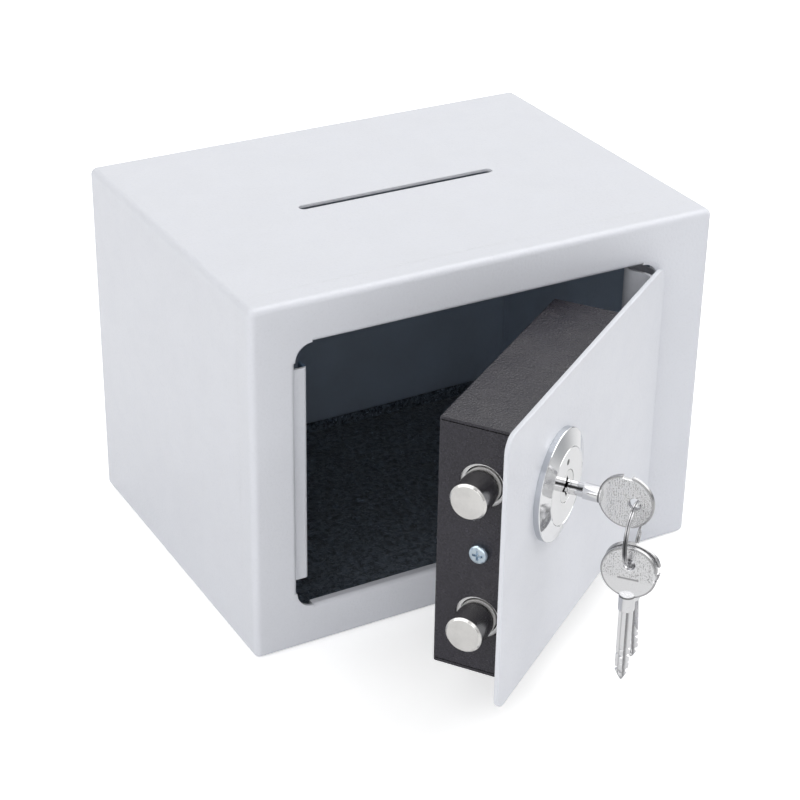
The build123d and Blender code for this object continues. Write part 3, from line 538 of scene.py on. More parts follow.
@dataclass(frozen=True)
class Felt(Finish):
    """Charcoal felt with blue-grey fibres, made paler towards its front by painted light."""

    name: str
    deep: Colour = (0.02, 0.028, 0.042)
    pale: Colour = (0.38, 0.48, 0.6)
    front: Colour = (0.2, 0.23, 0.28)
    front_light_share: float = 0.6
    front_end: float = -10.0 * MM
    front_fade: float = 70.0 * MM

    def wire(self, graph: Graph, shader: bpy.types.Node, here: Socket) -> None:
        """Wire the felt."""
        fibres = graph.use(EFFECTS.felt_fibres, place=here)
        dust = graph.use(EFFECTS.dust, place=here, amount=0.05)
        middle = tuple((a + b) * 0.3 for a, b in zip(self.deep, self.pale))
        colour = graph.blend(fibres.outputs["Tone"], self.deep, middle)
        colour = graph.blend(fibres.outputs["Pale"], colour, self.pale)
        colour = graph.blend(dust.outputs["Mask"], colour, (0.16, 0.16, 0.16))
        # Painted light: the felt is made paler towards its front edge.
        back = graph.add("NodeSeparateXYZ", {0: here}).outputs[1]
        near = graph.span(back, self.front_end - self.front_fade, self.front_end, self.front_light_share, 0.0)
        near = graph.times(near, graph.span(fibres.outputs["Tone"], 0.2, 1.0, 0.25, 1.0))
        colour = graph.blend(near, colour, self.front)
        base = graph.add("NodeNewGeometry").outputs["Normal"]
        skin = bumped(graph, fibres.outputs["Height"], 0.5 * MM, base)
        graph.give(shader, {"Base Color": colour, "Roughness": 0.95, "Normal": skin})
        graph.give(shader, {"Specular IOR Level": 0.15, "Sheen Weight": 0.25, "Sheen Roughness": 0.5})


@dataclass(frozen=True)
class TurnedMetal(Finish):
    """Plated metal with faint lathe rings about an axis, on the faces square to it.

    The dot is only painted, at a height above the centre. Inside the bore, a radius in millimetres, the
    walls along the axis are black as painted shade. The side tint is a painted shade on walls along the axis.
    """

    name: str
    centre: Point
    axis: Point
    colour: Colour = (0.74, 0.745, 0.75)
    side_roughness: float = 0.09
    face_roughness: float = 0.22
    pitch: float = 0.42
    depth: float = 0.0025 * MM
    dot_height: float | None = None
    bore: float = 0.0
    bore_shade_colour: Colour = (0.012, 0.012, 0.013)
    side_shade_share: float = 0.0
    side_shade_colour: Colour = (0.45, 0.475, 0.52)
    stain: float = 0.12

    def wire(self, graph: Graph, shader: bpy.types.Node, here: Socket) -> None:
        """Wire the plating."""
        normal = graph.add("NodeNewGeometry").outputs["Normal"]
        rings = graph.use(
            EFFECTS.turned_marks, place=here, centre=self.centre, axis=self.axis, pitch=self.pitch
        )
        edge = graph.use(EFFECTS.rounded_edges, place=here, radius=0.25 * MM, reach=2.0)
        marks = graph.use(EFFECTS.handling, place=here)
        square = graph.vector("DOT_PRODUCT", normal, self.axis).outputs["Value"]
        on_face = graph.span(graph.math("ABSOLUTE", square), 0.93, 0.99)
        stained = graph.times(marks.outputs["Haze"], self.stain)
        colour = graph.blend(stained, self.colour, toned(self.colour, 0.55))
        scratched = graph.times(marks.outputs["Scratches"], 0.25)
        colour = graph.blend(scratched, colour, toned(self.colour, 0.6))
        # Painted shade: walls along the axis are darkened towards blue-grey.
        shaded_side = graph.span(graph.math("ABSOLUTE", square), 0.3, 0.8, self.side_shade_share, 0.0)
        colour = graph.blend(shaded_side, colour, self.side_shade_colour)
        relief = graph.times(rings.outputs["Height"], on_face)
        if self.dot_height is not None:
            dot = Vector(self.centre) + Vector((0.0, 0.0, self.dot_height))
            away = graph.vector("DISTANCE", here, dot).outputs["Value"]
            in_dot = graph.span(away, 1.15 * MM, 1.5 * MM, 1.0, 0.0)
            colour = graph.blend(in_dot, colour, (0.002, 0.002, 0.002))
        # Painted shade: the bore's walls along the axis are made black.
        if self.bore:
            near_axis = graph.span(rings.outputs["Radius"], self.bore, self.bore + 0.2, 1.0, 0.0)
            bore_shade = graph.times(near_axis, graph.math("SUBTRACT", 1.0, on_face))
            colour = graph.blend(bore_shade, colour, self.bore_shade_colour)
        polish = graph.span(on_face, 0.0, 1.0, self.side_roughness, self.face_roughness)
        rough = graph.math("ADD", polish, graph.times(marks.outputs["Haze"], 0.06))
        skin = bumped(graph, relief, self.depth, edge.outputs["Normal"])
        graph.give(shader, {"Base Color": colour, "Roughness": rough, "Normal": skin, "Metallic": 1.0})


@dataclass(frozen=True)
class RingSteel(Finish):
    """Nickel-plated spring steel of the split ring, shaded at mid height to look as photographed."""

    name: str
    middle: Point
    colour: Colour = (0.46, 0.46, 0.47)
    shade: Colour = (0.06, 0.06, 0.065)
    shade_share: float = 0.85
    reach: float = 8.0 * MM

    def wire(self, graph: Graph, shader: bpy.types.Node, here: Socket) -> None:
        """Wire the plating."""
        edge = graph.use(EFFECTS.rounded_edges, place=here, radius=0.12 * MM, reach=2.0)
        marks = graph.use(EFFECTS.handling, place=here)
        arm = graph.add("NodeSeparateXYZ", {0: graph.vector("SUBTRACT", here, self.middle).outputs[0]})
        level = graph.math("ABSOLUTE", arm.outputs[2])
        shaded = graph.span(level, 0.3 * self.reach, self.reach, 1.0, 0.0)
        shaded = graph.times(shaded, self.shade_share)
        colour = graph.blend(shaded, self.colour, self.shade)
        # The crest of rounded edges is made lighter.
        colour = graph.blend(graph.times(edge.outputs["Mask"], 0.5), colour, (0.8, 0.8, 0.81))
        rough = graph.span(marks.outputs["Haze"], 0.0, 1.0, 0.06, 0.16)
        skin = bumped(graph, marks.outputs["Haze"], 0.01 * MM, edge.outputs["Normal"])
        graph.give(shader, {"Base Color": colour, "Roughness": rough, "Normal": skin, "Metallic": 1.0})


@dataclass(frozen=True)
class ZincPlate(Finish):
    """Zinc plating, clear or blue, with a fine spangle."""

    name: str
    colour: Colour = (0.6, 0.64, 0.7)
    tint: Colour = (0.4, 0.5, 0.68)
    roughness: float = 0.27

    def wire(self, graph: Graph, shader: bpy.types.Node, here: Socket) -> None:
        """Wire the plating."""
        spangle = graph.use(EFFECTS.pebbles, place=here, cell=1.6 * MM)
        edge = graph.use(EFFECTS.rounded_edges, place=here, radius=0.2 * MM, reach=3.0)
        marks = graph.use(EFFECTS.handling, place=here)
        colour = graph.blend(graph.times(spangle.outputs["Pits"], 0.4), self.colour, self.tint)
        colour = graph.blend(marks.outputs["Haze"], colour, toned(self.colour, 0.82))
        # The crest of rounded edges is made lighter.
        colour = graph.blend(graph.times(edge.outputs["Mask"], 0.6), colour, (0.82, 0.83, 0.84))
        rough = graph.span(marks.outputs["Haze"], 0.0, 1.0, self.roughness - 0.05, self.roughness + 0.1)
        grain = graph.noise(graph.scaled(here, 2200.0), 2.0)
        skin = bumped(graph, grain, 0.006 * MM, edge.outputs["Normal"])
        graph.give(shader, {"Base Color": colour, "Roughness": rough, "Normal": skin, "Metallic": 1.0})


@dataclass(frozen=True)
class KeyPlace:
    """Where a key's bow is: its middle, the way to the tip, and the way that its face looks."""

    middle: Vector
    tipward: Vector
    normal: Vector

    @property
    def across(self) -> Vector:
        """Direction across the bow."""
        return self.normal.cross(self.tipward)


@dataclass(frozen=True)
class StampedKey(Finish):
    """Nickel-plated stamped key: a stippled bow with a smooth rim, and smooth stem and blade.

    The blade's streak, the seam at the collar, the bow's outline and the bar across it are dark shades
    painted to look as photographed. The bar is a distance towards the tip from the bow's middle.
    """

    name: str
    place: KeyPlace
    stipple_to: float = 2.0 * MM
    border: float = 2.2 * MM
    bar: float = 2.9 * MM
    bar_length: float = 8.8 * MM
    bar_half_width: float = 0.28 * MM
    pit_share: float = 0.6
    streak_share: float = 0.55
    seam_share: float = 0.85
    outline_share: float = 0.5
    bar_share: float = 0.6
    colour: Colour = (0.69, 0.69, 0.7)
    bow_radius: float = 12.0 * MM
    rim: float = 0.7 * MM
    hole_offset: float = 3.9 * MM
    collar_end: float = 18.0 * MM
    cell: float = 0.58 * MM
    depth: float = 0.06 * MM

    def wire(self, graph: Graph, shader: bpy.types.Node, here: Socket) -> None:
        """Wire the plating."""
        pips = graph.use(EFFECTS.pebbles, place=here, cell=self.cell)
        edge = graph.use(EFFECTS.rounded_edges, place=here, radius=0.25 * MM, reach=2.5)
        marks = graph.use(EFFECTS.handling, place=here)
        normal = graph.add("NodeNewGeometry").outputs["Normal"]
        arm = graph.vector("SUBTRACT", here, self.place.middle).outputs[0]
        down = graph.vector("DOT_PRODUCT", arm, self.place.tipward).outputs["Value"]
        out = graph.vector("LENGTH", arm).outputs["Value"]
        square = graph.vector("DOT_PRODUCT", normal, self.place.normal).outputs["Value"]
        on_face = graph.span(graph.math("ABSOLUTE", square), 0.8, 0.95)
        rim_start = self.bow_radius - self.rim
        in_rim = graph.span(out, rim_start - 0.2 * MM, rim_start, 1.0, 0.0)
        hole = Vector(self.place.middle) - Vector(self.place.tipward) * self.hole_offset
        off_hole = graph.vector("DISTANCE", here, hole).outputs["Value"]
        round_hole = graph.span(off_hole, 3.0 * MM, 3.3 * MM)
        stippled = graph.span(down, self.stipple_to, self.stipple_to + self.border, 1.0, 0.0)
        ground = graph.times(graph.times(in_rim, round_hole), stippled)
        ground = graph.times(ground, on_face)
        # Painted shade: the pits between the pips are darkened.
        pitted = graph.times(ground, pips.outputs["Pits"])
        crossed = graph.vector("CROSS_PRODUCT", arm, self.place.tipward).outputs[0]
        off_axis = graph.vector("LENGTH", crossed).outputs["Value"]
        past_collar = graph.span(down, self.collar_end, self.collar_end + 0.3 * MM)
        near_axis = graph.span(off_axis, 1.3 * MM, 2.2 * MM, 1.0, 0.0)
        streak = graph.times(past_collar, near_axis)
        off_seam = graph.math("ABSOLUTE", graph.math("SUBTRACT", down, self.bow_radius - 0.9 * MM))
        seam = graph.span(off_seam, 0.2 * MM, 0.6 * MM, 1.0, 0.0)
        seam = graph.times(seam, graph.span(off_axis, 2.0 * MM, 3.6 * MM, 0.7, 1.0))
        wide = graph.math("ABSOLUTE", graph.vector("DOT_PRODUCT", arm, self.place.across).outputs["Value"])
        off_bar = graph.math("ABSOLUTE", graph.math("SUBTRACT", down, self.bar))
        past_bar = graph.math("SUBTRACT", off_bar, self.bar_half_width)
        past_bar = graph.math("MAXIMUM", past_bar, graph.math("SUBTRACT", wide, self.bar_length / 2))
        bar = graph.times(graph.span(past_bar, 0.0, 0.25 * MM, 1.0, 0.0), on_face)
        in_bow = graph.span(out, self.bow_radius, self.bow_radius + 0.1 * MM, 1.0, 0.0)
        outline = graph.times(graph.math("SUBTRACT", 1.0, in_rim), in_bow)
        shades = (
            (pitted, self.pit_share),
            (streak, self.streak_share),
            (seam, self.seam_share),
            (outline, self.outline_share),
            (bar, self.bar_share),
        )
        # Painted shade: the darkest of these masks darkens the plating.
        painted_shade = graph.most(graph.times(mask, share) for mask, share in shades)
        colour = graph.blend(painted_shade, self.colour, toned(self.colour, 0.1))
        scratched = graph.times(marks.outputs["Scratches"], 0.35)
        colour = graph.blend(scratched, colour, toned(self.colour, 0.5))
        relief = graph.times(graph.math("SUBTRACT", pips.outputs["Height"], 1.0), ground)
        relief = graph.math("ADD", relief, 1.0)
        flat = graph.span(out, self.bow_radius, self.bow_radius + 0.3 * MM, 1.0, 0.0)
        flat = graph.times(flat, 0.16)
        rough = graph.math("ADD", graph.span(marks.outputs["Haze"], 0.0, 1.0, 0.06, 0.12), flat)
        skin = bumped(graph, relief, self.depth, edge.outputs["Normal"])
        graph.give(shader, {"Base Color": colour, "Roughness": rough, "Normal": skin, "Metallic": 1.0})


def dress(finish: bpy.types.Material, nodes: Iterable[str]) -> None:
    """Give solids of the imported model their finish.

    Args:
        finish: The material.
        nodes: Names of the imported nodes.
    """
    for name in nodes:
        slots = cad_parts[name].material_slots
        if not slots:
            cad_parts[name].data.materials.append(finish)
        for slot in slots:
            slot.material = finish
        LOG.info("%s wears %s", name, finish.name)


def add_piece(
    name: str, mesh: bpy.types.Mesh, finish: bpy.types.Material, body: Body
) -> bpy.types.Object:
    """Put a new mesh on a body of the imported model.

    Args:
        name: The piece's name.
        mesh: Its mesh, in metres in the model's frame.
        finish: Its material.
        body: The body that it moves with.

    Returns:
        The new object.
    """
    piece = bpy.data.objects.new(name, mesh)
    bpy.context.scene.collection.objects.link(piece)
    mesh.materials.append(finish)
    for face in mesh.polygons:
        face.use_smooth = True
    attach(piece, body.value)
    LOG.info("%s rides on %s", name, body.value)
    return piece


@dataclass
class Case:
    """The folded body with its front frame, back, strike channel and hinge brackets."""

    painted: tuple[str, ...] = (
        "body_wrap",
        "front_frame",
        "back_panel",
        "strike_channel",
        "hinge_bracket_top",
        "hinge_bracket_bottom",
    )
    plated: tuple[str, ...] = ("hinge_pin_top", "hinge_pin_bottom")

    def dress(self, zinc: bpy.types.Material) -> None:
        """Paint the case and plate its pins.

        Args:
            zinc: The plating of the pins.
        """
        dress(PowderCoat("case_paint", inside=ShadedInside()).material(), self.painted)
        dress(zinc, self.plated)


@dataclass
class FeltLiner:
    """Felt on the floor of the case, turned up along its back edge."""

    low: Vector = field(default_factory=lambda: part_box("floor_mat")[0])
    high: Vector = field(default_factory=lambda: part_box("floor_mat")[1])
    thickness: float = 3.0 * MM
    upturn_thickness: float = 2.0 * MM
    columns: int = 150
    rows: int = 120
    bend: float = 1.6 * MM
    crowding: float = 0.012
    edge_radius: float = 1.4 * MM
    sink_depth: float = 0.14 * MM
    sink_border: float = 6 * MM
    upturn_dip: float = 0.9 * MM

    @property
    def width(self) -> float:
        """Width of the cut piece."""
        return self.high.x - self.low.x

    @property
    def run(self) -> float:
        """Length of the middle line from the front edge to the bend."""
        return self.high.y - self.low.y - self.upturn_thickness / 2 - self.bend

    @property
    def rise(self) -> float:
        """Length of the middle line above the bend."""
        return self.high.z - self.low.z - self.thickness / 2 - self.bend

    @property
    def length(self) -> float:
        """Length of the cut piece."""
        return self.run + self.bend * math.pi / 2 + self.rise

    def middle_line(self, along: float) -> tuple[Vector, Vector, float]:
        """Follow the middle of the felt from the front edge.

        Args:
            along: Distance along it, in metres.

        Returns:
            The place and the upper side's normal in the plane of Y and Z, and half the thickness.
        """
        front = self.low.y
        if along <= self.run:
            thin = max(0.0, 1.0 - (self.run - along) / (8 * self.bend))
            half = self.thickness / 2 + (self.upturn_thickness - self.thickness) / 2 * thin * thin
            return Vector((0.0, front + along, self.low.z + half)), Vector((0.0, 0.0, 1.0)), half
        half = self.upturn_thickness / 2
        floor = self.low.z + half
        turn = min((along - self.run) / self.bend, math.pi / 2)
        y = front + self.run + self.bend * math.sin(turn)
        z = floor + self.bend * (1.0 - math.cos(turn))
        past = max(0.0, along - self.run - self.bend * math.pi / 2)
        return Vector((0.0, y, z + past)), Vector((0.0, -math.sin(turn), math.cos(turn))), half

    @staticmethod
    def unevenness(x: float, along: float) -> float:
        """Slow waves of the felt's upper side, from -1 to 1."""
        first = math.sin(61.0 * x + 1.7) * math.cos(47.0 * along + 0.6)
        second = math.sin(149.0 * x - 83.0 * along + 2.1) * math.sin(97.0 * along + 31.0 * x)
        return 0.62 * first + 0.38 * second

    def build(self, finish: bpy.types.Material) -> bpy.types.Object:
        """Args:
            finish: The felt's material.

        Returns:
            The new object.
        """
        upper: list[list[Vector]] = []
        under: list[list[Vector]] = []
        for row in range(self.rows + 1):
            share = row / self.rows
            along = self.length * (share - self.crowding * math.sin(2 * math.pi * share) / (2 * math.pi))
            middle, normal, half = self.middle_line(along)
            tops, bottoms = [], []
            for column in range(self.columns + 1):
                x = self.low.x + self.width * column / self.columns
                edge = min(x - self.low.x, self.high.x - x, along, self.length - along)
                inset = max(0.0, 1.0 - edge / self.edge_radius)
                swell = half * math.sqrt(max(0.0, 1.0 - inset * inset))
                rough = 1.0 + self.unevenness(x, along)
                sink = self.sink_depth * rough * min(1.0, edge / self.sink_border)
                at = Vector((x, middle.y, middle.z))
                if along > self.run:
                    wave = 0.5 + 0.5 * math.sin(43.0 * x + 0.8)
                    at.z -= self.upturn_dip * wave * (along - self.run) / (self.length - self.run)
                tops.append(at + normal * (swell - sink))
                bottoms.append(at - normal * swell)
            upper.append(tops)
            under.append(bottoms)
        shell = bmesh.new()
        grids = [[[shell.verts.new(point) for point in line] for line in side] for side in (upper, under)]
        for row in range(self.rows):
            for column in range(self.columns):
                corners = ((row, column), (row, column + 1), (row + 1, column + 1), (row + 1, column))
                for side, way in zip(grids, (1, -1)):
                    shell.faces.new([side[line][place] for line, place in corners][::way])
        bmesh.ops.remove_doubles(shell, verts=shell.verts, dist=0.01 * MM)
        bmesh.ops.recalc_face_normals(shell, faces=shell.faces)
        mesh = bpy.data.meshes.new("floor_felt")
        shell.to_mesh(mesh)
        shell.free()
        piece = add_piece("floor_felt", mesh, finish, Body.CASE)
        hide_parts("floor_mat")
        return piece


@dataclass
class Door:
    """The door plate, its wrap-round hinge leaf and the two brackets on its back."""

    painted: tuple[str, ...] = ("door_plate", "hinge_leaf")
    primed: tuple[str, ...] = ("bolt_bracket", "cover_bracket")

    def dress(self) -> None:
        """Paint the door, and the brackets whiter than it to look as photographed."""
        dress(PowderCoat("door_paint", depth=0.035 * MM).material(), self.painted)
        primer = PowderCoat("bracket_primer", colour=(0.96, 0.96, 0.97), depth=0.02 * MM, roughness=0.3)
        dress(primer.material(), self.primed)


@dataclass
class BoltWork:
    """Cover, bolts, carrier, studs and screws on the back of the door."""

    swing: Swing
    bolt_y: float = -68.2 * MM
    middle_z: float = 85.2 * MM
    spacing: float = 62.5 * MM
    blued: tuple[str, ...] = ("cover_screws",)
    plated: tuple[str, ...] = (
        "guide_screws",
        "guide_washers",
        "guide_stud_upper",
        "guide_stud_lower",
        "bolt_carrier",
        "bolt_screws",
        "lock_crank",
        "crank_screws",
    )

    def dress(self, zinc: bpy.types.Material) -> None:
        """Give the bolts and the cover their finishes.

        Args:
            zinc: The plating of the small parts.
        """
        dress(WrinkleCoat("cover_paint").material(), ["mechanism_cover"])
        blue = ZincPlate("blue_zinc", colour=(0.5, 0.58, 0.65), tint=(0.2, 0.34, 0.54), roughness=0.2)
        dress(blue.material(), self.blued)
        dress(zinc, self.plated)
        for which, side in (("upper", 0.5), ("lower", -0.5)):
            centre = self.swing.place(0.0, self.bolt_y, self.middle_z + side * self.spacing)
            finish = TurnedMetal(
                f"bolt_nickel_{which}", tuple(centre), tuple(self.swing.along), colour=(0.7, 0.69, 0.675),
                side_roughness=0.16, face_roughness=0.34, pitch=0.9, depth=0.003 * MM, stain=0.3,
            )
            dress(finish.material(), [f"bolt_{which}"])


@dataclass
class CamLock:
    """The lock with its bevelled escutcheon, housing, nut and plug."""

    swing: Swing
    x: float = -40.6 * MM
    height: float = 102.2 * MM
    front_y: float = -85.0 * MM
    face_depth: float = 4.8 * MM
    dot_height: float = 11.3 * MM

    def dress(self) -> None:
        """Give the lock's pieces their plating."""
        centre = tuple(self.swing.place(self.x, self.front_y, self.height))
        axis = tuple(self.swing.inward)
        rim = TurnedMetal(
            "escutcheon_chrome", centre, axis, colour=(0.8, 0.805, 0.815), side_roughness=0.06,
            face_roughness=0.06, side_shade_share=0.65, stain=0.05,
        )
        face_centre = tuple(Vector(centre) - self.face_depth * self.swing.inward)
        face = TurnedMetal(
            "lock_face_chrome", face_centre, axis, colour=(0.78, 0.78, 0.785), face_roughness=0.05,
            pitch=0.5, depth=0.0008 * MM, dot_height=self.dot_height, stain=0.05,
        )
        plug = TurnedMetal(
            "plug_nickel", centre, axis, colour=(0.74, 0.74, 0.735), face_roughness=0.1, bore=5.6
        )
        dress(rim.material(), ["escutcheon"])
        dress(face.material(), ["lock_housing"])
        dress(plug.material(), ["lock_plug", "lock_nut"])


@dataclass
class KeySet:
    """The key in the lock, the split ring and the two spare keys on it."""

    swing: Swing
    lock: CamLock
    bow_from_door: float = 30.7 * MM
    hole_offset: float = 3.9 * MM
    hole_drop: float = 1.3 * MM
    ring_radius: float = 12.6 * MM
    ring_heading: float = -140.1
    wire_depth: float = 0.88 * MM
    wire_width: float = 0.445 * MM
    spares: tuple[tuple[str, float, float], ...] = (
        ("spare_key_front", 2.2 * MM, 0.0),
        ("spare_key_rear", -2.5 * MM, 11.0),
    )

    @property
    def bow(self) -> KeyPlace:
        """Place of the bow of the key in the lock."""
        face = self.swing.place(self.lock.x, self.lock.front_y, self.lock.height)
        return KeyPlace(face - self.swing.inward * self.bow_from_door, self.swing.inward, self.swing.along)

    @property
    def heading(self) -> Vector:
        """Direction of the ring's plane on the level."""
        turn = math.radians(self.ring_heading)
        return Vector((math.cos(turn), math.sin(turn), 0.0))

    @property
    def ring_middle(self) -> Vector:
        """Middle of the split ring."""
        hole = self.bow.middle - self.swing.inward * self.hole_offset
        return hole - Vector((0.0, 0.0, self.hole_drop + self.ring_radius))

    def hanging(self, offset: float, tilt: float) -> KeyPlace:
        """Place of the bow of a spare key.

        Args:
            offset: How far along the heading the key hangs, in metres.
            tilt: How far its tip leans back, in degrees.

        Returns:
            The bow's place.
        """
        drop = math.sqrt(self.ring_radius**2 - offset**2)
        wire = self.ring_middle - Vector((0.0, 0.0, drop)) + self.heading * offset
        lean = math.radians(tilt)
        down = Vector((0.0, 0.0, -math.cos(lean))) - self.heading * math.sin(lean)
        across = self.heading.cross(Vector((0.0, 0.0, 1.0)))
        return KeyPlace(wire + down * (self.hole_drop + self.hole_offset), down, across.cross(down))

    def build_ring(self, finish: bpy.types.Material) -> bpy.types.Object:
        """Make the split ring: two turns of flat wire side by side, with a step between them.

        Args:
            finish: The ring's material.

        Returns:
            The new object.
        """
        axis = self.heading.cross(Vector((0.0, 0.0, 1.0)))
        first, second = self.heading, Vector((0.0, 0.0, 1.0))
        start, turns, steps, sides = math.radians(205.0), 1.97, 300, 14
        cross_from, cross_share, side_by_side = 0.47, 0.06, 1.02
        blunt_share, blunt_least = 0.006, 0.35
        shell = bmesh.new()
        rings = []
        for step in range(steps + 1):
            share = step / steps
            angle = start + 2 * math.pi * turns * share
            cross = min(1.0, max(0.0, (share - cross_from) / cross_share))
            side = self.wire_width * side_by_side * (2 * cross * cross * (3 - 2 * cross) - 1)
            radial = first * math.cos(angle) + second * math.sin(angle)
            from_end = max(0.0, min(share, 1.0 - share) / blunt_share)
            blunt = min(1.0, math.sqrt(from_end) + blunt_least)
            loop = []
            for turn in range(sides):
                around = 2 * math.pi * turn / sides
                out = self.ring_radius + blunt * self.wire_depth * self.squared(math.cos(around))
                beside = side + blunt * self.wire_width * self.squared(math.sin(around))
                loop.append(shell.verts.new(self.ring_middle + radial * out + axis * beside))
            rings.append(loop)
        for here, there in zip(rings, rings[1:]):
            for turn in range(sides):
                after = (turn + 1) % sides
                shell.faces.new((here[turn], here[after], there[after], there[turn]))
        shell.faces.new(rings[0][::-1])
        shell.faces.new(rings[-1])
        bmesh.ops.recalc_face_normals(shell, faces=shell.faces)
        mesh = bpy.data.meshes.new("split_ring")
        shell.to_mesh(mesh)
        shell.free()
        piece = add_piece("split_ring", mesh, finish, Body.RING)
        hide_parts("key_ring")
        return piece

    @staticmethod
    def squared(wave: float) -> float:
        """A wave with fuller crests, for a section between a round and a square."""
        return math.copysign(abs(wave) ** 0.62, wave)

    def dress(self) -> None:
        """Give each key its plating, with the stipple laid out about its bow."""
        plating = StampedKey(
            "key_in_lock_nickel", self.bow, stipple_to=7.5 * MM, bar_length=0.0, streak_share=0.98
        )
        dress(plating.material(), ["key_in_lock"])
        for name, offset, tilt in self.spares:
            dress(StampedKey(f"{name}_nickel", self.hanging(offset, tilt)).material(), [name])


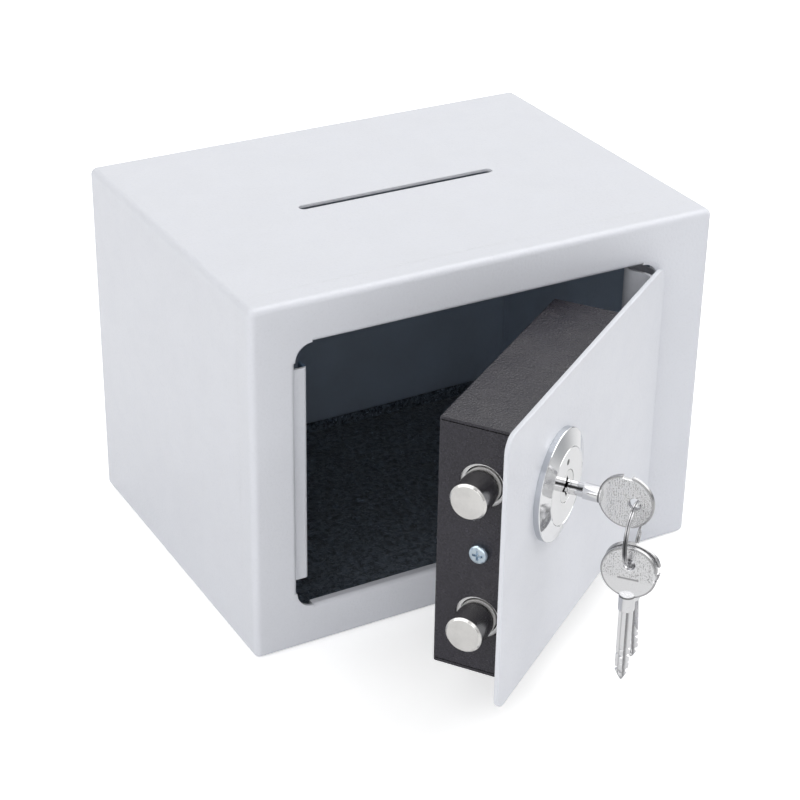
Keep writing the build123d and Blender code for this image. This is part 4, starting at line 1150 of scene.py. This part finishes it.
@dataclass
class Studio:
    """Pale floor, soft lamps, pale surroundings and the camera."""

    ambient: float = 0.03
    lamps: tuple[tuple[str, Point, float, float], ...] = (
        ("left_softbox", (-1.0, 0.2, 1.0), 0.93, 70.0),
        ("right_softbox", (1.0, -0.1, 1.0), 1.85, 70.0),
        ("top_softbox", (0.0, 0.15, 1.0), 0.55, 90.0),
        ("front_left_softbox", (-0.7, -0.8, 0.3), 1.24, 60.0),
        ("front_softbox", (0.0, -1.0, 0.4), 0.25, 60.0),
    )
    camera_place: Point = (-0.432067, -0.771844, 0.540033)
    azimuth: float = -0.524487
    elevation: float = 0.490254
    roll: float = 0.021694
    focal_pixels: float = 2095.357
    centre_pixels: tuple[float, float] = (420.704, 386.589)
    picture: float = 800.0
    sensor: float = 36.0
    pale_to: float = 0.2
    grey_from: float = 0.75
    far_grey: Colour = (0.22, 0.23, 0.25)
    camera_glow: float = 0.42
    glow_way: Point = (0.45, 0.79, 0.42)
    glow_least: float = 0.3
    glow_most: float = 1.05

    @staticmethod
    def seen(graph: Graph, rays: Iterable[Ray]) -> Socket:
        """Mask that is 1 for rays of the kinds given.

        Args:
            graph: The graph of the floor or the world.
            rays: The kinds of ray.

        Returns:
            The mask's socket.
        """
        path = graph.add("NodeLightPath")
        return graph.most([0.0, *(path.outputs[ray.value] for ray in rays)])

    def build_floor(self) -> None:
        """Lay the floor: it keeps the shadow, is near white, and looks grey to gloss far on the right."""
        material, graph, shader = start_material("studio_floor")
        here = graph.here()
        drift = graph.span(graph.noise(graph.scaled(here, 3.0), 2.0), 0.3, 0.7, 0.985, 1.0)
        right = graph.add("NodeSeparateXYZ", {0: here}).outputs[0]
        far = graph.span(right, self.pale_to, self.grey_from, 0.0, 1.0)
        far = graph.times(far, self.seen(graph, [Ray.GLOSSY]))
        white = graph.blend(self.seen(graph, Ray), (0.96, 0.96, 0.965), (1.0, 1.0, 1.0))
        white = graph.blend(far, white, self.far_grey)
        colour = graph.blend(drift, (0.97, 0.97, 0.975), white)
        glow = graph.times(self.seen(graph, [Ray.CAMERA]), self.camera_glow)
        graph.give(shader, {"Base Color": colour, "Roughness": 0.9, "Specular IOR Level": 0.0})
        graph.give(shader, {"Emission Color": (1.0, 1.0, 1.0), "Emission Strength": glow})
        mesh = bpy.data.meshes.new("studio_floor")
        disc = bmesh.new()
        bmesh.ops.create_circle(disc, cap_ends=True, segments=96, radius=6.0)
        disc.to_mesh(mesh)
        disc.free()
        mesh.materials.append(material)
        floor = bpy.data.objects.new("studio_floor", mesh)
        floor.location.z = -0.02 * MM
        bpy.context.scene.collection.objects.link(floor)

    def build_world(self) -> None:
        """Surround the object with a faint glow: white to the camera, and to gloss brightest at the back."""
        world = bpy.data.worlds.new("studio_world")
        world.use_nodes = True
        world.node_tree.nodes.clear()
        bpy.context.scene.world = world
        graph = Graph(world.node_tree)
        way = graph.add("NodeTexCoord").outputs["Generated"]
        behind = graph.vector("DOT_PRODUCT", way, self.glow_way).outputs["Value"]
        wall = graph.span(behind, -0.55, 0.45, self.glow_least, self.glow_most)
        gloss = self.seen(graph, [Ray.GLOSSY, Ray.TRANSMISSION])
        strength = graph.times(gloss, graph.math("SUBTRACT", wall, self.ambient))
        strength = graph.math("ADD", strength, self.ambient)
        camera = self.seen(graph, [Ray.CAMERA])
        strength = graph.math("ADD", strength, graph.times(camera, 1.0 - self.ambient))
        background = graph.add("NodeBackground", {"Color": (1.0, 1.0, 1.0), "Strength": strength})
        graph.add("NodeOutputWorld", {"Surface": background.outputs[0]})

    def build_lamps(self) -> None:
        """Hang the soft lamps, suns that are each as wide in angle as a softbox."""
        for name, way, strength, width in self.lamps:
            lamp = bpy.data.lights.new(name, "SUN")
            lamp.energy = strength
            lamp.angle = math.radians(width)
            hung = bpy.data.objects.new(name, lamp)
            hung.location = way
            hung.rotation_euler = Vector(way).to_track_quat("Z", "Y").to_euler()
            bpy.context.scene.collection.objects.link(hung)

    def build_camera(self) -> None:
        """Stand the camera where the photograph was taken from."""
        level, rise = self.azimuth, self.elevation
        back = Vector((math.sin(level) * math.cos(rise), -math.cos(level) * math.cos(rise), math.sin(rise)))
        right = Vector((math.cos(level), math.sin(level), 0.0))
        up = back.cross(right)
        across = right * math.cos(self.roll) + up * math.sin(self.roll)
        upward = up * math.cos(self.roll) - right * math.sin(self.roll)
        data = bpy.data.cameras.new("photo_camera")
        data.sensor_width = self.sensor
        data.lens = self.focal_pixels * self.sensor / self.picture
        data.shift_x = (self.picture / 2 - self.centre_pixels[0]) / self.picture
        data.shift_y = (self.centre_pixels[1] - self.picture / 2) / self.picture
        data.clip_start = 0.01
        camera = bpy.data.objects.new("photo_camera", data)
        turn = Matrix((across, upward, back)).transposed().to_4x4()
        camera.matrix_world = Matrix.Translation(self.camera_place) @ turn
        bpy.context.scene.collection.objects.link(camera)
        bpy.context.scene.camera = camera

    def build(self) -> None:
        """Set up the camera, the floor, the surroundings and the lamps."""
        scene = bpy.context.scene
        scene.view_settings.view_transform = "Standard"
        self.build_camera()
        self.build_floor()
        self.build_world()
        self.build_lamps()


def main() -> None:
    """Build every sub-assembly in order."""
    logging.basicConfig(level=logging.INFO, format="%(message)s")
    swing = Swing()
    lock = CamLock(swing)
    keys = KeySet(swing, lock)
    zinc = ZincPlate("zinc").material()
    steel = RingSteel("ring_steel", tuple(keys.ring_middle))
    steps: list[tuple[str, Callable[[], Any]]] = [
        ("studio", Studio().build),
        ("case", lambda: Case().dress(zinc)),
        ("felt", lambda: FeltLiner().build(Felt("charcoal_felt").material())),
        ("door", Door().dress),
        ("bolt work", lambda: BoltWork(swing).dress(zinc)),
        ("lock", lock.dress),
        ("split ring", lambda: keys.build_ring(steel.material())),
        ("keys", keys.dress),
    ]
    for name, step in steps:
        LOG.info("making the %s", name)
        step()


if __name__ == "__main__":
    main()
